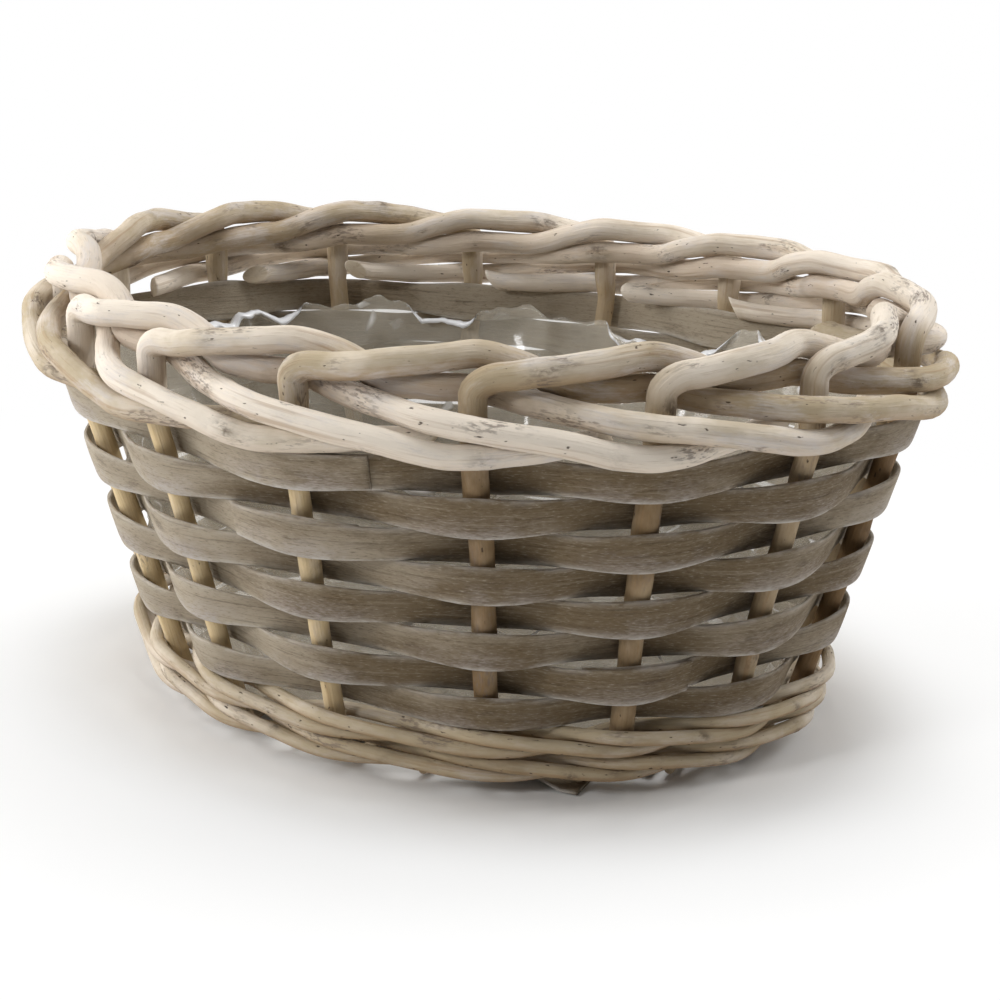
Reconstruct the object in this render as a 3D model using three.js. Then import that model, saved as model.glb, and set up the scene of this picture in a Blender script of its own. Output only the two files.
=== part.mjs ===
// Oval wicker flower basket: round stakes, flat wall splints, a waled foot, a woven base,
// a border made by bending the stakes over each other, and a clear film liner.
// Millimetres, +Z up, the length along X, standing on z = 0 with the middle of the base at the origin.
import * as THREE from 'three';

// Driving dimensions
const stakeCount = 16;
const rimHalfLength = 147;
const rimHalfWidth = 122;
const footHalfLength = 114;
const footHalfWidth = 88;
const weaveGap = 0.3;

const stakeFootRadius = 3.5;
const stakeRadius = 3.8;
const borderRodRadius = 4;
const borderTipRadius = 3.4;
const borderClearance = 0.3;

const splintCourses = 8;
const splintHeight = 11.2;
const splintSwell = 1.6;
const splintThickness = 1.6;

const waleRodRadius = 2;
const waleGap = 0.65;
const waleRounds = 2;
const waleRodsPerRound = 3;
const waleEndGap = 1.2;

const baseStickRadius = 1.8;
const baseStickCount = 9;
const baseStickOverhang = 0.5;
const baseStripWidth = 19.5;
const baseStripThickness = 1.3;
const baseStripCount = 7;
const baseStripInset = 4;
const baseStripSlide = 5;

const filmThickness = 0.4;
const filmClearance = 0.4;
const filmTopBelowWall = 7;
const filmCrimp = 2.2;
const filmCornerRadius = 5;

// Hand spacing, one value a stake, as the photo shows it: how far round the stake stands from an
// even place at its foot and at the rim, in stake spacings, and how much taller the wall is there
// than even, as a share of its height.
const footShiftShares = [0, 0, 0.03, 0.05, 0.06, 0.08, 0.1, 0.05, 0, 0, 0, -0.12, -0.12, 0.12, 0.05, 0];
const rimShiftShares = [0, 0, 0.02, 0.04, 0.07, 0.12, 0.14, 0.1, 0.06, 0.04, 0.08, -0.03, 0, 0.03, 0, -0.05];
const rimLiftShares = [0, 0.004, -0.006, -0.012, -0.012, 0, 0.024, 0.042, 0.05, 0.048, 0.022, 0, 0, 0, 0, 0];

// How far out the outermost base sticks and strips lie, as shares of the foot's half sizes
const baseStickReachShare = 0.815;
const baseStripReachShare = 0.76;

// Half the flat where a base strip lies on a stick, as a share of the stick pitch
const baseStripFlatShare = 0.16;

// Path of a bent stake in the border. Each point has the age, which is how many stake spacings
// the rod has travelled, then its place outward and upward as shares of the border unit.
// The rod bends at its own stake, lies behind the next two and in front of two more, then tucks in.
const borderPathShares = [
  [0.00, 0.00, 0.60],
  [0.00, 0.00, 1.40],
  [0.01, 0.02, 2.00],
  [0.10, 0.04, 2.38],
  [0.25, 0.06, 2.50],
  [0.50, 0.08, 2.76],
  [0.75, -0.42, 2.85],
  [1.00, -1.02, 2.92],
  [1.25, -1.10, 2.55],
  [1.50, -0.70, 2.00],
  [1.75, -0.75, 1.88],
  [2.00, -1.02, 1.83],
  [2.25, -0.62, 1.50],
  [2.50, 0.12, 1.28],
  [2.75, 0.82, 1.10],
  [3.00, 1.16, 0.94],
  [3.25, 1.20, 0.74],
  [3.50, 1.22, 0.48],
  [3.75, 1.20, 0.13],
  [3.93, 1.15, -0.05],
  [4.10, 0.90, -0.06],
  [4.30, 0.35, -0.05],
  [4.50, -0.30, -0.03],
  [4.75, -0.88, 0.06],
  [5.00, -1.16, 0.26],
];
const tailAgeShare = 4.9;
const tailSpreadShare = 0.09;

// One stroke of a wale rod: stake spacings travelled, then shares of its swing and of its pitch.
// It starts behind a stake, passes in front of two and ends behind the third.
const waleStrokeShares = [
  [0.0, -1, 0.0],
  [0.5, 0, 0.5],
  [1.0, 1, 0.5],
  [1.5, 1, 0.0],
  [2.0, 1, -0.5],
  [2.5, 0, -0.5],
];
const waleStrokeStakes = 3;

// Facets of the curved pieces
const rodSides = 7;
const waleSides = 6;
const stickSides = 8;
const splintStepsPerStake = 4;
const filmSteps = 48;
const filmCrimpCount = 20;
const ovalSamples = 3600;

// Heights of the stack, from the ground up
const baseStickLevel = baseStripThickness + weaveGap + baseStickRadius;
const baseStripSwing = baseStickRadius + weaveGap + baseStripThickness / 2;
const baseTop = baseStickLevel + baseStripSwing + baseStripThickness / 2;
const waleFloor = baseStickLevel + baseStickRadius + weaveGap;
const walePitch = 2 * waleRodRadius + waleGap;
const waleRoundHeight = 2 * walePitch;
const wallFloor = waleFloor + waleRounds * waleRoundHeight;
const coursePitch = splintHeight + weaveGap;
const wallTop = wallFloor + splintCourses * coursePitch;
const borderUnit = 2 * borderRodRadius + borderClearance;
const borderLevel = wallTop + borderTipRadius + borderClearance;

// Swings across the leaning wall, measured level
const wallLean = Math.atan((rimHalfLength - footHalfLength) / wallTop);
const stakeReach = (stakeRadius + weaveGap) / Math.cos(wallLean);
const splintSwing = stakeReach + splintThickness / 2;
const waleSwing = stakeReach + waleRodRadius;
const stakeFloor = waleFloor + stakeFootRadius * Math.sin(wallLean);

const rodMaterial = { color: 0xc9b596, roughness: 0.75, metalness: 0 };
const splintMaterial = { color: 0x8d8070, roughness: 0.85, metalness: 0 };
const waleMaterial = { color: 0xb8a585, roughness: 0.8, metalness: 0 };
const baseMaterial = { color: 0x9c8a70, roughness: 0.85, metalness: 0 };
const filmMaterial = { color: 0xdfe6e6, roughness: 0.1, metalness: 0, transparent: true, opacity: 0.3 };

const basket = new THREE.Group();
basket.name = 'wicker_flower_basket';

// Angles on the rim oval that cut it into equal lengths, one table for all heights
const ovalAngle = (() => {
  const lengths = [0];
  for (let i = 1; i <= ovalSamples; i += 1) {
    const from = (2 * Math.PI * (i - 1)) / ovalSamples;
    const to = (2 * Math.PI * i) / ovalSamples;
    const dx = rimHalfLength * (Math.cos(to) - Math.cos(from));
    const dy = rimHalfWidth * (Math.sin(to) - Math.sin(from));
    lengths.push(lengths[i - 1] + Math.hypot(dx, dy));
  }
  const total = lengths[ovalSamples];
  return (stakes) => {
    const turn = stakes / stakeCount;
    const wanted = (turn - Math.floor(turn)) * total;
    let low = 0;
    let high = ovalSamples;
    while (high - low > 1) {
      const middle = (low + high) >> 1;
      if (lengths[middle] <= wanted) low = middle;
      else high = middle;
    }
    const share = (wanted - lengths[low]) / (lengths[high] - lengths[low]);
    return (2 * Math.PI * (low + share)) / ovalSamples;
  };
})();

// A smooth curve through the stakes' own values, read at any place round the wall
function amongStakes(values, stakes) {
  const whole = Math.floor(stakes);
  const t = stakes - whole;
  const [a, b, c, d] = [-1, 0, 1, 2].map((step) => values.at((whole + step) % stakeCount));
  return b + (t / 2) * (c - a + t * (2 * a - 5 * b + 4 * c - d + t * (3 * b - a - 3 * c + d)));
}

// A point at a number of stake spacings round the wall, a level distance outward and a height
function wallPoint(stakes, outward, height) {
  const rise = Math.min(height, wallTop) / wallTop;
  const footShift = amongStakes(footShiftShares, stakes);
  const shift = footShift + (amongStakes(rimShiftShares, stakes) - footShift) * rise;
  const lift = amongStakes(rimLiftShares, stakes) * wallTop * rise;
  const angle = ovalAngle(stakes + shift);
  const halfLength = footHalfLength + (rimHalfLength - footHalfLength) * rise;
  const halfWidth = footHalfWidth + (rimHalfWidth - footHalfWidth) * rise;
  const normal = new THREE.Vector2(Math.cos(angle) / halfLength, Math.sin(angle) / halfWidth).normalize();
  return new THREE.Vector3(
    halfLength * Math.cos(angle) + outward * normal.x,
    halfWidth * Math.sin(angle) + outward * normal.y,
    height + lift,
  );
}

function addMesh(name, geometry, look) {
  geometry.computeVertexNormals();
  const mesh = new THREE.Mesh(geometry, new THREE.MeshStandardMaterial(look));
  mesh.name = name;
  basket.add(mesh);
}

// Skin over a row of rings that all have the same number of points, closed at both ends
// or, for a loop, joined from the last ring to the first
function skinOverRings(rings, looped) {
  const corners = rings[0].length;
  const positions = rings.flat().flatMap((point) => [point.x, point.y, point.z]);
  const faces = [];
  const spans = looped ? rings.length : rings.length - 1;
  for (let i = 0; i < spans; i += 1) {
    const here = i * corners;
    const next = ((i + 1) % rings.length) * corners;
    for (let j = 0; j < corners; j += 1) {
      const k = (j + 1) % corners;
      faces.push(here + j, here + k, next + k, here + j, next + k, next + j);
    }
  }
  if (!looped) {
    const last = (rings.length - 1) * corners;
    for (let j = 1; j < corners - 1; j += 1) {
      faces.push(0, j + 1, j, last, last + j, last + j + 1);
    }
  }
  const geometry = new THREE.BufferGeometry();
  geometry.setAttribute('position', new THREE.Float32BufferAttribute(positions, 3));
  geometry.setIndex(faces);
  return geometry;
}

// Round rod through points, with its own radius at each, carried along without twist
function rodGeometry(points, radii, sides) {
  const rings = [];
  let across = null;
  for (let i = 0; i < points.length; i += 1) {
    const before = points[Math.max(i - 1, 0)];
    const after = points[Math.min(i + 1, points.length - 1)];
    const along = after.clone().sub(before).normalize();
    if (!across) {
      const up = Math.abs(along.z) < Math.SQRT1_2 ? new THREE.Vector3(0, 0, 1) : new THREE.Vector3(1, 0, 0);
      across = new THREE.Vector3().crossVectors(along, up);
    }
    across.addScaledVector(along, -across.dot(along)).normalize();
    const other = new THREE.Vector3().crossVectors(along, across);
    const ring = [];
    for (let j = 0; j < sides; j += 1) {
      const turn = (2 * Math.PI * j) / sides;
      ring.push(points[i].clone()
        .addScaledVector(across, radii[i] * Math.cos(turn))
        .addScaledVector(other, radii[i] * Math.sin(turn)));
    }
    rings.push(ring);
  }
  return skinOverRings(rings, false);
}

// Radius of a stake's rod once it has bent over, thinner toward its tip
function borderRadius(age) {
  const spent = Math.max(age - 1, 0) / (tailAgeShare - 1);
  return borderRodRadius - (borderRodRadius - borderTipRadius) * Math.min(spent, 1);
}

// Stakes: each stands in the wale, leans with the wall, bends over and is woven into the border
function addStake(index) {
  const points = [wallPoint(index, 0, stakeFloor), wallPoint(index, 0, wallTop)];
  const radii = [stakeFootRadius, stakeRadius];
  const end = tailAgeShare + tailSpreadShare * Math.sin(2 * index);
  const lastFull = borderPathShares.length - 1;
  borderPathShares.forEach(([age, out, up], i) => {
    let share = 1;
    if (i === lastFull) share = (end - borderPathShares[i - 1][0]) / (age - borderPathShares[i - 1][0]);
    const from = borderPathShares[Math.max(i - 1, 0)];
    const mix = (a, b) => a + (b - a) * share;
    points.push(wallPoint(
      index + mix(from[0], age),
      mix(from[1], out) * borderUnit,
      borderLevel + mix(from[2], up) * borderUnit,
    ));
    radii.push(borderRadius(age));
  });
  const number = String(index + 1).padStart(2, '0');
  addMesh(`stake_${number}`, rodGeometry(points, radii, rodSides), rodMaterial);
}

// Wall splints: flat loops that pass in front of one stake and behind the next, a little taller at
// the stakes, where the courses pass each other. The top and bottom edges of the wall stay level.
function addSplint(course) {
  const top = wallTop - (course - 1) * coursePitch - weaveGap;
  const bottom = top - splintHeight;
  const swellUp = course > 1 ? splintSwell / 2 : 0;
  const swellDown = course < splintCourses ? splintSwell / 2 : 0;
  const steps = stakeCount * splintStepsPerStake;
  const rings = [];
  for (let i = 0; i < steps; i += 1) {
    const stakes = i / splintStepsPerStake;
    const wave = Math.cos(Math.PI * (stakes + course));
    const inside = -splintSwing * wave - splintThickness / 2;
    const outside = inside + splintThickness;
    const low = bottom - swellDown * wave * wave;
    const high = top + swellUp * wave * wave;
    rings.push([
      wallPoint(stakes, inside, low),
      wallPoint(stakes, inside, high),
      wallPoint(stakes, outside, high),
      wallPoint(stakes, outside, low),
    ]);
  }
  addMesh(`wall_splint_${course}`, skinOverRings(rings, true), splintMaterial);
}

// Foot wale: three rods a round, each in front of two stakes and behind one, butted behind a stake
function addWaleRod(round, rod) {
  const start = rod + round;
  const strokes = Math.ceil((stakeCount - rod) / waleStrokeStakes);
  const middle = waleFloor + waleRodRadius + walePitch / 2 + round * waleRoundHeight;
  const endShare = waleEndGap / 2 / (footHalfLength * 2 * Math.PI / stakeCount);
  const points = [];
  for (let stroke = 0; stroke < strokes; stroke += 1) {
    waleStrokeShares.forEach(([travelled, out, up], i) => {
      const lead = stroke === 0 && i === 0 ? endShare : 0;
      const stakes = start + stroke * waleStrokeStakes + travelled + lead;
      points.push(wallPoint(stakes, out * waleSwing, middle + up * walePitch));
    });
  }
  points.push(wallPoint(start + strokes * waleStrokeStakes - endShare, -waleSwing, middle));
  const radii = points.map(() => waleRodRadius);
  addMesh(`foot_wale_${round + 1}_${rod + 1}`, rodGeometry(points, radii, waleSides), waleMaterial);
}

const baseStickPitch = (2 * footHalfLength * baseStickReachShare) / (baseStickCount - 1);
const baseStripPitch = (2 * footHalfWidth * baseStripReachShare) / (baseStripCount - 1);

// Half the chord of the foot oval, grown by an overhang, at a distance from its middle line
function halfChord(distance, halfAcross, halfAlong, overhang) {
  const share = distance / (halfAcross + overhang);
  return (halfAlong + overhang) * Math.sqrt(1 - share * share);
}

// Base sticks: straight round rods from side to side, their ends just past the wale
function addBaseStick(index) {
  const x = (index - (baseStickCount - 1) / 2) * baseStickPitch;
  const reach = halfChord(x, footHalfLength, footHalfWidth, baseStickOverhang);
  const ends = [new THREE.Vector3(x, -reach, baseStickLevel), new THREE.Vector3(x, reach, baseStickLevel)];
  const geometry = rodGeometry(ends, [baseStickRadius, baseStickRadius], stickSides);
  addMesh(`base_stick_${index + 1}`, geometry, baseMaterial);
}

// Base strips: flat lengths woven over and under the sticks, with their ends under the wale.
// Every other strip lies a little to the right, and the rest a little to the left.
function addBaseStrip(index) {
  const y = (index - (baseStripCount - 1) / 2) * baseStripPitch;
  const reach = halfChord(y, footHalfWidth, footHalfLength, -baseStripInset);
  const slide = index % 2 === 0 ? baseStripSlide : -baseStripSlide;
  const lastCrossing = (way) => Math.floor((reach + way * slide) / baseStickPitch);
  const middleStick = (baseStickCount - 1) / 2;
  const sideOfStick = (crossing) => ((middleStick + crossing + index) % 2 === 0 ? 1 : -1);
  const heightAt = (x) => {
    const travelled = Math.abs(x) / baseStickPitch;
    const last = lastCrossing(Math.sign(x));
    const crossing = Math.min(Math.round(travelled), last);
    const side = sideOfStick(crossing);
    const away = Math.abs(travelled - crossing);
    const fall = Math.min(Math.max((away - baseStripFlatShare) / (0.5 - baseStripFlatShare), 0), 1);
    const pastUnder = travelled > last && side < 0;
    return baseStickLevel + side * baseStripSwing * (pastUnder ? 1 : 1 - fall);
  };
  const stations = [slide - reach, slide + reach];
  for (let crossing = -lastCrossing(-1); crossing <= lastCrossing(1); crossing += 1) {
    for (const share of [-baseStripFlatShare, baseStripFlatShare, 0.5]) {
      const x = (crossing + share) * baseStickPitch;
      if (Math.abs(x - slide) < reach - baseStripThickness) stations.push(x);
    }
  }
  const firstHalf = -(lastCrossing(-1) + 0.5) * baseStickPitch;
  if (firstHalf > slide - reach + baseStripThickness) stations.push(firstHalf);
  stations.sort((a, b) => a - b);
  const rings = stations.map((x) => {
    const low = heightAt(x) - baseStripThickness / 2;
    const high = heightAt(x) + baseStripThickness / 2;
    const near = y - baseStripWidth / 2;
    const far = y + baseStripWidth / 2;
    return [
      new THREE.Vector3(x, near, low),
      new THREE.Vector3(x, far, low),
      new THREE.Vector3(x, far, high),
      new THREE.Vector3(x, near, high),
    ];
  });
  addMesh(`base_strip_${index + 1}`, skinOverRings(rings, false), baseMaterial);
}

// Film liner: a thin open bag that stands on the base and follows the inside of the wall
function addFilmLiner() {
  const floor = baseTop + weaveGap;
  const footInset = waleSwing + waleRodRadius + filmClearance;
  const wallInset = splintSwing + splintThickness / 2 + filmClearance;
  const top = wallTop - filmTopBelowWall;
  const profile = [
    [footInset + filmCornerRadius, floor],
    [footInset, floor + filmCornerRadius],
    [footInset, wallFloor],
    [wallInset, wallFloor + coursePitch],
    [wallInset, (wallFloor + top) / 2],
    [wallInset, top],
  ];
  const positions = [0, 0, floor, 0, 0, floor + filmThickness];
  const faces = [];
  const ringStarts = [];
  const addRing = (inset, height, crimped) => {
    ringStarts.push(positions.length / 3);
    for (let i = 0; i < filmSteps; i += 1) {
      const stakes = (i * stakeCount) / filmSteps;
      const ripple = crimped ? filmCrimp * Math.sin((2 * Math.PI * filmCrimpCount * stakes) / stakeCount) : 0;
      const point = wallPoint(stakes, -inset - Math.abs(ripple) / 2, height + ripple);
      positions.push(point.x, point.y, point.z);
    }
  };
  const lastLevel = profile.length - 1;
  profile.forEach(([inset, height], i) => addRing(inset, height, i === lastLevel));
  for (let i = lastLevel; i >= 0; i -= 1) {
    const lift = i === 0 ? filmThickness : 0;
    addRing(profile[i][0] + filmThickness, profile[i][1] + lift, i === lastLevel);
  }
  for (let level = 0; level < ringStarts.length - 1; level += 1) {
    for (let i = 0; i < filmSteps; i += 1) {
      const j = (i + 1) % filmSteps;
      const low = ringStarts[level];
      const high = ringStarts[level + 1];
      faces.push(low + i, low + j, high + j, low + i, high + j, high + i);
    }
  }
  const innermost = ringStarts[ringStarts.length - 1];
  for (let i = 0; i < filmSteps; i += 1) {
    const j = (i + 1) % filmSteps;
    faces.push(0, ringStarts[0] + j, ringStarts[0] + i);
    faces.push(1, innermost + i, innermost + j);
  }
  const geometry = new THREE.BufferGeometry();
  geometry.setAttribute('position', new THREE.Float32BufferAttribute(positions, 3));
  geometry.setIndex(faces);
  addMesh('film_liner', geometry, filmMaterial);
}

for (let index = 0; index < stakeCount; index += 1) addStake(index);
for (let course = 1; course <= splintCourses; course += 1) addSplint(course);
for (let round = 0; round < waleRounds; round += 1) {
  for (let rod = 0; rod < waleRodsPerRound; rod += 1) addWaleRod(round, rod);
}
for (let index = 0; index < baseStickCount; index += 1) addBaseStick(index);
for (let index = 0; index < baseStripCount; index += 1) addBaseStrip(index);
addFilmLiner();

export default basket;
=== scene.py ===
"""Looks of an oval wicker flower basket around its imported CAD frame: peeled willow rods, grey
splints, a waled foot, a woven base and a bag of hazy film. Metres, +Z up, standing on z = 0."""

import bpy
import numpy as np
from bpy.props import FloatProperty, FloatVectorProperty, PointerProperty
from mathutils import Matrix


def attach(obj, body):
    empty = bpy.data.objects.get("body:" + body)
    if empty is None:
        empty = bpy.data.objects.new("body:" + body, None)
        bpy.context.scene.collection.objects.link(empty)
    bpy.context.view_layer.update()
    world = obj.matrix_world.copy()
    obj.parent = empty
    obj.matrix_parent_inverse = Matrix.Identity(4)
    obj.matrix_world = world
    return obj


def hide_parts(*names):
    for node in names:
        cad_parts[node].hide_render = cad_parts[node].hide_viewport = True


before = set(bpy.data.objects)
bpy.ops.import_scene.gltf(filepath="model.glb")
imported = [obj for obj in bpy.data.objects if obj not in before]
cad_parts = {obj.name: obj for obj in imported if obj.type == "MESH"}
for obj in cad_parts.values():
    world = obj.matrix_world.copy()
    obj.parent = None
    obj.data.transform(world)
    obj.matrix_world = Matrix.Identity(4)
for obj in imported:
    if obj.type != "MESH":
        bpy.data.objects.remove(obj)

bl_info = {
    "name": "Wicker Flower Basket",
    "version": (1, 0, 0),
    "blender": (4, 5, 0),
    "location": "View3D > Sidebar > Basket",
    "description": "Makes an oval willow basket with a film bag around its CAD frame",
    "category": "Add Mesh",
}

# Counts that the CAD frame's nodes fix
STAKES = 16
COURSES = 8
WALE_ROUNDS = 2
WALE_RODS = 3
BASE_STICKS = 9
BASE_STRIPS = 7

# The bent stake's path in the border: stake spacings travelled, then its place outward and
# upward in border units
BORDER_PATH = np.array([
    [0.00, 0.00, 0.60], [0.00, 0.00, 1.40], [0.01, 0.02, 2.00], [0.10, 0.04, 2.38],
    [0.25, 0.06, 2.50], [0.50, 0.08, 2.76], [0.75, -0.42, 2.85], [1.00, -1.02, 2.92],
    [1.25, -1.10, 2.55], [1.50, -0.70, 2.00], [1.75, -0.75, 1.88], [2.00, -1.02, 1.83],
    [2.25, -0.62, 1.50], [2.50, 0.12, 1.28], [2.75, 0.82, 1.10], [3.00, 1.16, 0.94],
    [3.25, 1.20, 0.74], [3.50, 1.22, 0.48], [3.75, 1.20, 0.13], [3.93, 1.15, -0.05],
    [4.10, 0.90, -0.06], [4.30, 0.35, -0.05], [4.50, -0.30, -0.03], [4.75, -0.88, 0.06],
    [5.00, -1.16, 0.26],
])

# Where a rod's cut tip lies on that path, and by how much this differs, in stake spacings
TAIL_AGE = 4.9
TAIL_AGE_SPREAD = 0.09

# One stroke of a foot rod: stake spacings travelled, then shares of its swing and its pitch
WALE_STROKE = np.array([
    [0.0, -1, 0.0], [0.5, 0, 0.5], [1.0, 1, 0.5], [1.5, 1, 0.0], [2.0, 1, -0.5], [2.5, 0, -0.5],
])
WALE_STROKE_STAKES = 3

# How far a foot rod's ends keep from the place where a stroke starts, in stake spacings
WALE_END_INSET = 0.015

# How pale each rod is in the border, from 0, tan, to 1, cream, past which hardly any tan is left
# Partly the rods' own tone and partly painted light: the rods on the lit left are set paler, and those
# where the rim lies more in shade darker
ROD_PALENESS_AND_LIGHT = [
    0.90, 0.90, 0.85, 0.85, 0.65, 0.40, 0.25, 0.30, 0.80, 1.30, 1.20, 0.65, 0.20, 0.25, 0.80, 0.95,
]

# How brown each stake is below the border, from 0, peeled, to 1, its brownest tone
# Partly the rods' own brown skin and partly painted shade, set higher on the stakes that lie in shade
# on the near side's right half and at the right end
STAKE_BROWN_AND_SHADE = [
    0.70, 0.40, 0.40, 0.50, 0.50, 0.40, 0.40, 0.40, 0.30, 0.30, 0.35, 0.40, 0.40, 0.50, 0.50, 0.45,
]

# How pale each stake is below the border, from -1, the grey brown of painted shade, past 0, tan, to 1,
# straw
# Partly painted light: stakes on the lit left are set paler, and those on the near side's right half
# and at the right end, which lie in shade, below 0
STAKE_PALENESS_AND_LIGHT = [
    -1.0, 0.1, 0.2, 0.2, 0.1, 0.1, 0.1, 0.1, 0.4, 1.0, 1.3, 0.9, 0.6, -0.7, -0.6, -0.4,
]

# Hand spacing at each stake, as in the CAD part: how far round it stands from an even place at
# its foot and at the rim, in stake spacings, and how much taller the wall is there, as a share
FOOT_SHIFTS = [
    0, 0, 0.03, 0.05, 0.06, 0.08, 0.1, 0.05, 0, 0, 0, -0.12, -0.12, 0.12, 0.05, 0,
]
RIM_SHIFTS = [
    0, 0, 0.02, 0.04, 0.07, 0.12, 0.14, 0.1, 0.06, 0.04, 0.08, -0.03, 0, 0.03, 0, -0.05,
]
RIM_LIFTS = [
    0, 0.004, -0.006, -0.012, -0.012, 0, 0.024, 0.042, 0.05, 0.048, 0.022, 0, 0, 0, 0, 0,
]

# How thick each stake is below the border, as a share of the even radius
STAKE_FULLNESS = [
    0.88, 0.95, 1.00, 0.92, 0.88, 1.00, 0.92, 0.96, 1.00, 0.95, 0.90, 0.84, 0.86, 1.02, 1.04, 0.86,
]

# How pale the splints are at each stake, from 0, brown, to 1, chalky grey
# Partly the splints' own tone and partly painted light: paler towards the lit left, darker on the near
# side's right half, which lies in shade
SPLINT_PALENESS_AND_LIGHT = [
    0.50, 0.80, 1.00, 1.00, 0.90, 0.60, 0.45, 0.60, 0.95, 1.00, 1.00, 0.80, 0.40, 0.10, 0.00, 0.15,
]

# How much paler or browner a course's splint is, and how far this turns from course to course
COURSE_PALENESS = 0.12
COURSE_TURN = 2.3

# How strong the bloom is: at a bulge's middle height, how much more a splint's height lower, on
# a brown splint, and how much more on a pale one
BLOOM_MIDDLE = 0.35
BLOOM_FALL = 1.6
BLOOM_LEAST = 0.35
BLOOM_PALE = 0.55

# How much a stake leans sideways, in stake spacings, and how often, in waves a metre
STAKE_SWAY = 0.02
SWAY_PITCH = 9

# Shares of the wall's height where a stake's line has points of its own
STAKE_POINT_SHARES = (0.45, 0.85)

# A border rod's straying: the stake spacings over which it sets in, and its waves a spacing
STRAY_START = 0.3
STRAY_PITCH = 0.6

# Shares of a stake's length: where it leaves the wall for the border, over how much of it its
# look changes there, and the middle and the spread of the run that its neighbours hide
BORDER_START_SHARE = 0.28
BORDER_BLEND_SHARE = 0.08
HIDDEN_RUN_SHARE = 0.58
HIDDEN_SPREAD_SHARE = 0.09

# How much painted shade, in a dark brown, a stake gets in that hidden run, from 0 to 1
HIDDEN_RUN_SHADE = 0.75

# How pale the foot's rods are: the first rod, each next one, and the swing round the foot, with
# the stake where they are palest and the stakes from there to the brownest place
FOOT_PALENESS = 0.1
FOOT_PALENESS_STEP = 0.06
FOOT_PALENESS_SWING = 0.3
FOOT_PALEST_STAKE = 9.5
FOOT_PALE_SPAN = 4

# How pale the base's sticks and strips are
BASE_STICK_PALENESS = 0.2
BASE_STRIP_PALENESS = 0.15

# How much of the border's whitewash the stakes have below it, and the foot's and base's rods
WALL_WASH = 0.35
FOOT_WASH = 0.5
BASE_WASH = 0.6

# A rod's form, as shares of its radius: how long a knot and a cut end are, how much the rod swells
# at a knot and at the bud beside it, and how much it is out of round, wanders and is bumpy
KNOT_LENGTH_SHARE = 0.9
CUT_LENGTH_SHARE = 4.5
KNOT_SWELL_SHARE = 0.02
BUD_SWELL_SHARE = 0.12
OVAL_SHARE = 0.03
WANDER_SHARE = 0.03
BUMP_SHARE = 0.012

# How often a rod's oval twists, its radius wanders and it is bumpy, in waves a metre, then how far
# the oval twists, in radians, and by how many waves the bumps differ round the rod
OVAL_PITCH = 4
WANDER_PITCH = 14
BUMP_PITCH = 60
OVAL_TWIST = 5
BUMP_TURN = 3

# A knot's and its bud's places: how uneven the knots are, as a share of their spacing, then how
# far along the bud lies and how long it is, in knot lengths, and how wide it is round the rod
KNOT_JITTER = 0.5
BUD_SHIFT = 0.5
BUD_LENGTH = 1.1
BUD_WIDTH = 0.16

# How much fuller the foot's and the border's rods look than their clear radius, as they press
# on each other
WALE_FULLNESS = 1.13
BORDER_FULLNESS = 1.04

# How much higher the top splint's edge stands where it passes inside a stake, in metres
TOP_SWELL = 0.002

# Where the film's edge folds over inward: the stake, half the fold's width in stakes, and how
# deep it folds, in metres
FILM_FLAPS = [
    (7.1, 0.80, 0.008), (5.2, 0.30, 0.006), (3.3, 0.60, 0.010), (2.0, 0.50, 0.008),
    (0.6, 0.40, 0.007), (9.2, 0.40, 0.008), (12.4, 0.50, 0.009), (14.3, 0.40, 0.007),
]

# Where the film's edge stands higher: the stake, and how much higher, in metres
FILM_PEAKS = [(2.0, 0.009), (7.8, 0.005)]

# A fold of the film that is shallower than this, in metres, isn't rolled over in full
FILM_FLAP_LEAST = 0.003

# The film's form, in metres: its thickness, how far in from the wall its level middle starts, how
# wide the level band inside its corner is, the corner, and the height over which creases set in
FILM_THICKNESS = 0.0002
FILM_MIDDLE_INSET = 0.045
FILM_LEVEL_BAND = 0.02
FILM_CORNER = 0.005
FILM_CREASE_RISE = 0.02

# The film's grid, and the width in metres that a stake spacing stands for in its crumples
FILM_ROWS = 76
FILM_COLUMNS = 620
FILM_STAKE_WIDTH = 0.05

# The film's crumples: how many large and small ones, and their depth as a share of their size
CRUMPLES = 420
CRUMPLE_SHARE = 0.18
SMALL_CRUMPLES = 2200
SMALL_CRUMPLE_SHARE = 0.04

# How deep the film's upright folds are at its edge, how many come to a stake, and how far and how
# fast they crowd and spread round the bag, then how high the edge waves and ripples
FOLD_DEPTH = 0.0035
FOLDS_PER_STAKE = 1.1
FOLD_CROWDING = 0.5
FOLD_CROWDING_PITCH = 1.7
EDGE_WAVE = 0.003
EDGE_RIPPLE = 0.0006

# Half the width of a high place in the film's edge, in stakes, how far a fold turns over, in
# radians, and how uneven the folds' depth is, as a share
FILM_PEAK_WIDTH = 0.8
FLAP_TURN = 3.0
FLAP_UNEVENNESS = 0.25

# How uneven a splint is: its level and its hollow in metres, and shares of its height, thickness
# and edges, with the number of points along it
SPLINT_LEVEL_WANDER = 0.0006
SPLINT_CUP = 0.0003
SPLINT_HEIGHT_SHARE = 0.05
SPLINT_THICKNESS_SHARE = 0.1
SPLINT_RAGGED_SHARE = 0.012
SPLINT_STEPS = 560

# Where each course's splint laps over itself: the stake, and +1 if the outer end points onward
SPLINT_LAPS = [(12, 1), (3, 1), (12, -1), (5, -1), (8, 1), (1, -1), (14, 1), (7, -1)]

# A lap in stake spacings: how far the strip's start reaches back from the lap's stake and its end
# past it, how far before that stake the end starts to climb onto the start, and for how long
LAP_START = 0.35
LAP_END = 0.45
LAP_CLIMB_BEFORE = 0.95
LAP_CLIMB = 0.5

# The room between a lap's two layers, in metres
LAP_CLEARANCE = 0.0002

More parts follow.
